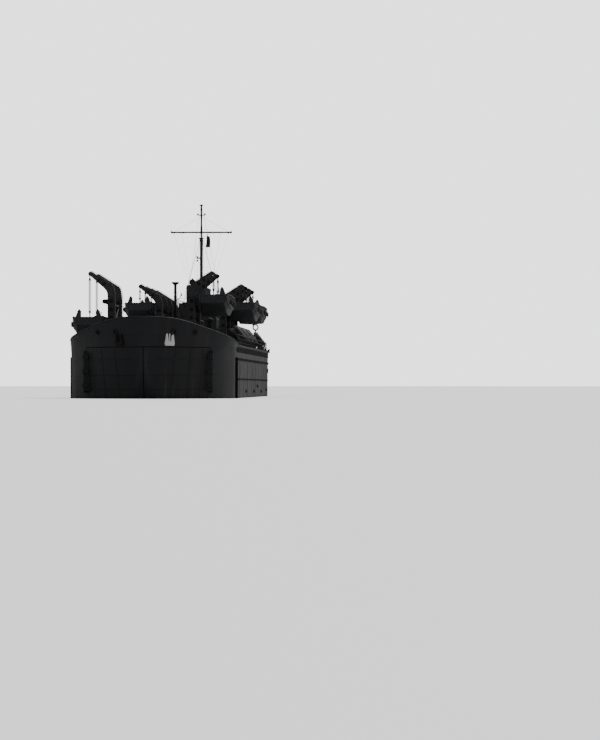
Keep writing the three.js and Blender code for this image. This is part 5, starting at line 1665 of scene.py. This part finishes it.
# scuttle hatches with their hand wheels, and hose boxes, on the main deck
boxes = dict(scuttles=((3.35, 0.0), (2.9, 0.35), (2.9, -0.35), (0.1, 0.0), (-0.9, 0.0), (1.9, 0.0)),
             hoses=(3.45, 0.62, -0.35, -1.40, -4.60), hoseY=0.62)
bm = bmesh.new()
for x, y in boxes["scuttles"]:
    addChest(bm, x, y, deckZ - 0.001, (0.045, 0.045), 0.023, 0.006, 0.004)
    addTurned(bm, (x, y, deckZ + 0.027), upwards, [(0, 0.006), (0.010, 0.006)], 10)
    addRing(bm, (x, y, deckZ + 0.037), upwards, 0.018, 0.0022, 16, 5)
for side in (1, -1):
    for x in boxes["hoses"]:
        addChest(bm, x, side * boxes["hoseY"], deckZ - 0.001, (0.030, 0.016), 0.047, 0.005, 0.003)
finishPiece(bm, "deck_boxes", "deck", bevel=0.0012)

# hose reels between their cheeks
reels = dict(at=[(x, side * 0.50) for x in (0.95, -0.15, -1.0) for side in (1, -1)], axleZ=deckZ + 0.042,
             turns=9, pitch=0.0052,
             cheek=((-0.024, -0.001), (0.024, -0.001), (0.006, 0.046), (-0.006, 0.046)),
             drum=[(0, 0.028), (0.003, 0.028), (0.004, 0.015), (0.052, 0.015), (0.053, 0.028),
                   (0.056, 0.028)])
iron, hoses = bmesh.new(), bmesh.new()
for x, y in reels["at"]:
    for dx in (-0.034, 0.028):
        addPlate(iron, [(x + dx, y + a, deckZ + b) for a, b in reels["cheek"]], (0.006, 0, 0))
    addTurned(iron, (x - 0.028, y, reels["axleZ"]), (1, 0, 0), reels["drum"], 18)
    for k in range(reels["turns"]):
        addRing(hoses, (x - 0.021 + k * reels["pitch"], y, reels["axleZ"]), (1, 0, 0), 0.0185, 0.0026, 18, 5)
finishPiece(iron, "hose_reels", "iron", bevel=0.0008, angle=45)
finishPiece(hoses, "hoses_on_reels", "canvas", angle=60)

# life floats, two deep on racks that lean outboard along the deck edge
rack = dict(spots=(1.30, 0.95, 0.30, -0.05, -0.65, -1.00, -2.90), foot=(0.700, 0.015), head=(0.565, 0.190),
            long=0.270, wide=0.190, tube=0.022, bearer=0.115, lashX=0.038,
            # a lashing round both floats: which end, how far along the rack, how deep in tubes
            lash=((-1, 0.80, 0.05), (-1, 1, 1.1), (-1, 1, 3.1), (-1, 0.78, 4.15), (1, 0.78, 4.15),
                  (1, 1, 3.1),
                  (1, 1, 1.1), (1, 0.80, 0.05)))
straight, bow = (rack["long"] - rack["wide"]) / 2, rack["wide"] / 2 - rack["tube"]


def ovalPath(centre, alongZ, grow=0.0, bights=0.0):
    # round the middle line of a float, or a distance outside it
    path = []
    for cx, a0 in ((straight, -90), (-straight, 90)):
        for k in range(9):
            a, reach = math.radians(a0 + k * 22.5), bow + grow - bights * (k % 2)
            path.append(centre + Vector((cx + reach * math.cos(a), 0, 0)) + alongZ * (reach * math.sin(a)))
    return path


def addFloat(bm, centre, alongZ, normal):
    # an oval ring with a boarded floor, its long side fore and aft
    addTube(bm, ovalPath(centre, alongZ), rack["tube"], 10, closed=True)
    for k in range(6):
        low, reach = -bow * 0.86 + k * bow * 0.29, straight + bow * 0.62
        corners = [centre + Vector((e * reach, 0, 0)) + alongZ * (low + up)
                   for e, up in ((-1, 0), (1, 0), (1, bow * 0.27), (-1, bow * 0.27))]
        addPlate(bm, [p - normal * 0.002 for p in corners], normal * 0.004)


def addRack(bm, ahead, foot, top, alongZ, normal):
    # two leaning bearers on three legs each, with cross bars between them
    bearing = Vector((rack["bearer"], 0, 0))
    for bearer in (ahead - bearing, ahead + bearing):
        addTube(bm, [bearer + foot - alongZ * 0.012, bearer + top + alongZ * 0.006], 0.0045, 6)
        addTube(bm, [bearer + foot, bearer + foot + normal * 0.062], 0.0040, 6)
        for t in (0.05, 0.5, 0.98):
            p = bearer + foot.lerp(top, t)
            addTube(bm, [p, (p.x, p.y, deckZ - 0.001)], 0.0040, 6)
        addTube(bm, [bearer + top, (bearer.x, foot.y, deckZ + 0.002)], 0.0030, 5)
    for t in (0.2, 0.5, 0.95):
        p = ahead + foot.lerp(top, t)
        addTube(bm, [p - bearing, p + bearing], 0.0035, 6)


floatMesh, frames, lines = [bmesh.new() for k in range(3)]
for side in (1, -1):
    foot, top = [Vector((0, side * y, deckZ + z)) for y, z in (rack["foot"], rack["head"])]
    alongZ = (top - foot).normalized()
    normal = Vector((0, side * alongZ.z, -side * alongZ.y))
    for x in rack["spots"]:
        ahead = Vector((x, 0, 0))
        middle = ahead + (foot + top) / 2
        layers = [middle + normal * (rack["tube"] * deep) for deep in (1.1, 3.1)]
        for centre in layers:
            addFloat(floatMesh, centre, alongZ, normal)
        addRack(frames, ahead, foot, top, alongZ, normal)
        # grab lines in bights and the two lashings round each pair
        for centre in layers:
            addTube(lines, ovalPath(centre, alongZ, rack["tube"] + 0.0012, 0.0025), 0.0014, 4, closed=True)
        for dx in (-rack["lashX"], rack["lashX"]):
            addTube(lines, [middle + Vector((dx, 0, 0)) + alongZ * (e * (rack["wide"] / 2 + 0.0012) * far)
                            + normal * (rack["tube"] * deep) for e, far, deep in rack["lash"]], 0.0018, 5)
finishPiece(floatMesh, "life_floats", "davit", angle=60)
finishPiece(frames, "float_racks", "iron", angle=60)
finishPiece(lines, "float_lines", "manila", angle=60)

# housed anchors: crown, palms and shackle over each plain blade
anchors = dict(port=((4.850, 0.2221, 0.812), 41, 1.08), starboard=((4.850, -0.2221, 0.812), -41, 1.08),
               stern=((-5.0146, 0, 0.640), 180, 1.3))
# outlines as (across, up), before each anchor's size
anchorParts = dict(ribs=(-0.022, 0, 0.022),
                   rib=((-0.056, 0.010), (-0.036, 0.010), (-0.044, 0.0175), (-0.056, 0.0175)),
                   palms=((0.0105, ((0.044, -0.034), (0.036, 0.030), (0.028, 0.041), (0.023, 0.016),
                                    (0.020, -0.020))), (0.0135, ((0.0345, -0.028), (0.0310, 0.026),
                                                                 (0.0275, 0.026), (0.0265, -0.028)))),
                   boss=[(0, 0.0055), (0.004, 0.0055), (0.005, 0.0035)])
for anchorName, (at, turn, size) in anchors.items():
    out = Vector((math.cos(math.radians(turn)), math.sin(math.radians(turn)), 0)) * size
    along = Vector((-out.y, out.x, 0))
    up = Vector((0, 0, size))

    def spot(a, z, depth, at=at, out=out, along=along, up=up):
        return Vector(at) + along * a + up * z + out * depth

    bm = bmesh.new()
    # crown with its tripping ribs, then the palms, thickened towards their points
    addTube(bm, [spot(-0.034, -0.050, 0.008), spot(0.034, -0.050, 0.008)], 0.0065 * size, 8)
    for a in anchorParts["ribs"]:
        addPlate(bm, [spot(a - 0.003, z, depth) for z, depth in anchorParts["rib"]], along * 0.006)
    for e in (-1, 1):
        for depth, outline in anchorParts["palms"]:
            addPlate(bm, [spot(e * a, z, depth) for a, z in outline], out * 0.0035)
        addTurned(bm, spot(e * 0.0068, 0.046, 0.002), along * e, anchorParts["boss"], 12)
    shackle = [spot(0.009 * math.cos(a), 0.050 + 0.012 * math.sin(a), 0.002)
               for a in np.linspace(-0.35, math.pi + 0.35, 11)]
    addTube(bm, shackle, 0.0026 * size, 6)
    addTube(bm, [spot(0, -0.034, 0.006), spot(0, 0.044, 0.0065)], 0.0042 * size, 8)
    # the port anchor's pale finish paints a highlight on it; the starboard and stern anchors stay dark iron
    look = "paintedHighlight" if anchorName == "port" else "iron"
    finishPiece(bm, f"anchor_fittings_{anchorName}", look, bevel=0.0006, angle=45)

# lifebuoy lashings and its grab line
buoy = dict(at=(-1.200, 0.717, 1.014), r=0.029, tube=0.007, turn=32, rope=0.0013, pitch=0.003)
bm = bmesh.new()
centre, facing = Vector(buoy["at"]), math.radians(90 + buoy["turn"])
across = Vector((math.cos(facing), math.sin(facing), 0))


def onRing(a, r):
    return centre + across * (r * math.cos(a)) + Vector((0, 0, r * math.sin(a)))


for a in (math.pi / 4 + k * math.pi / 2 for k in range(4)):
    tangent = -across * math.sin(a) + Vector((0, 0, math.cos(a)))
    for k in (-1, 0, 1):
        addRing(bm, onRing(a, buoy["r"]) + tangent * (k * buoy["pitch"]), tangent, buoy["tube"] + 0.0005,
                buoy["rope"], 12, 4)
path = [onRing(t, buoy["r"] + buoy["tube"] + 0.002 + 0.003 * math.cos(4 * t))
        for t in np.linspace(0, 2 * math.pi, 33)[:-1]]
addTube(bm, path, 0.0010, 4, closed=True)
finishPiece(bm, "lifebuoy_lashings", "manila", angle=60)
print("decks dressed")


# Finish for the CAD solids that show, and the floor
nodeLooks = dict(hull_bottom="hull", hull_side="hull", hull_stern="hull", engine="engine", main_deck="deck",
                 forecastle="hull", bow_door="hull", bow_ramp="deck", davit_bed="davit", davit_arms="davit",
                 # the port anchor's pale finish is a painted highlight
                 boat="boat", anchor_port="paintedHighlight", deckhouse="house", bridge_house="house",
                 conning_station="house", signal_lamp="davit", mast="mast", yard="mast",
                 exhaust_pipe="iron", cargo_hatch="deck", anchor_windlass="iron", bow_platform="house",
                 stern_platform="house", stern_anchor_winch="iron", shaft_skeg="hull", propeller="bronze",
                 rudder="hull", anchor="iron", stern_anchor="iron", lifebuoy="canvas",
                 signal_flag="bunting")
for nodeName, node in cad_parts.items():
    stem = max((k for k in nodeLooks if nodeName.startswith(k)), key=len)
    look = nodeLooks[stem]
    if look == "boat":
        look = f"boat{davits[nodeName[5:]][3]}"
    for matSlot in node.material_slots:
        matSlot.material = solidLooks[look]

water = dict(size=1800.0, colour=(0.50, 0.50, 0.50), rough=0.6, glow=0.86)


def makeFloor(v):
    bm = bmesh.new()
    half = v["size"]
    addForm(bm, [(-half, -half, 0), (half, -half, 0), (half, half, 0), (-half, half, 0)], [(0, 1, 2, 3)])
    mesh = bpy.data.meshes.new("waterFloor")
    bm.to_mesh(mesh)
    bm.free()
    mat = bpy.data.materials.new("paleFloor")
    mat.use_nodes = True
    shader = mat.node_tree.nodes["Principled BSDF"]
    shader.inputs["Base Color"].default_value = v["colour"] + (1,)
    shader.inputs["Roughness"].default_value = v["rough"]
    shader.inputs["Emission Color"].default_value = (1, 1, 1, 1)
    rays = mat.node_tree.nodes.new("ShaderNodeLightPath")
    seen = mathNode(mat.node_tree, "MULTIPLY", rays.outputs["Is Camera Ray"], v["glow"])
    mat.node_tree.links.new(seen, shader.inputs["Emission Strength"])
    mesh.materials.append(mat)
    obj = bpy.data.objects.new("waterFloor", mesh)
    obj.location.z = floorZ
    bpy.context.scene.collection.objects.link(obj)


makeFloor(water)
bpy.context.view_layer.update()
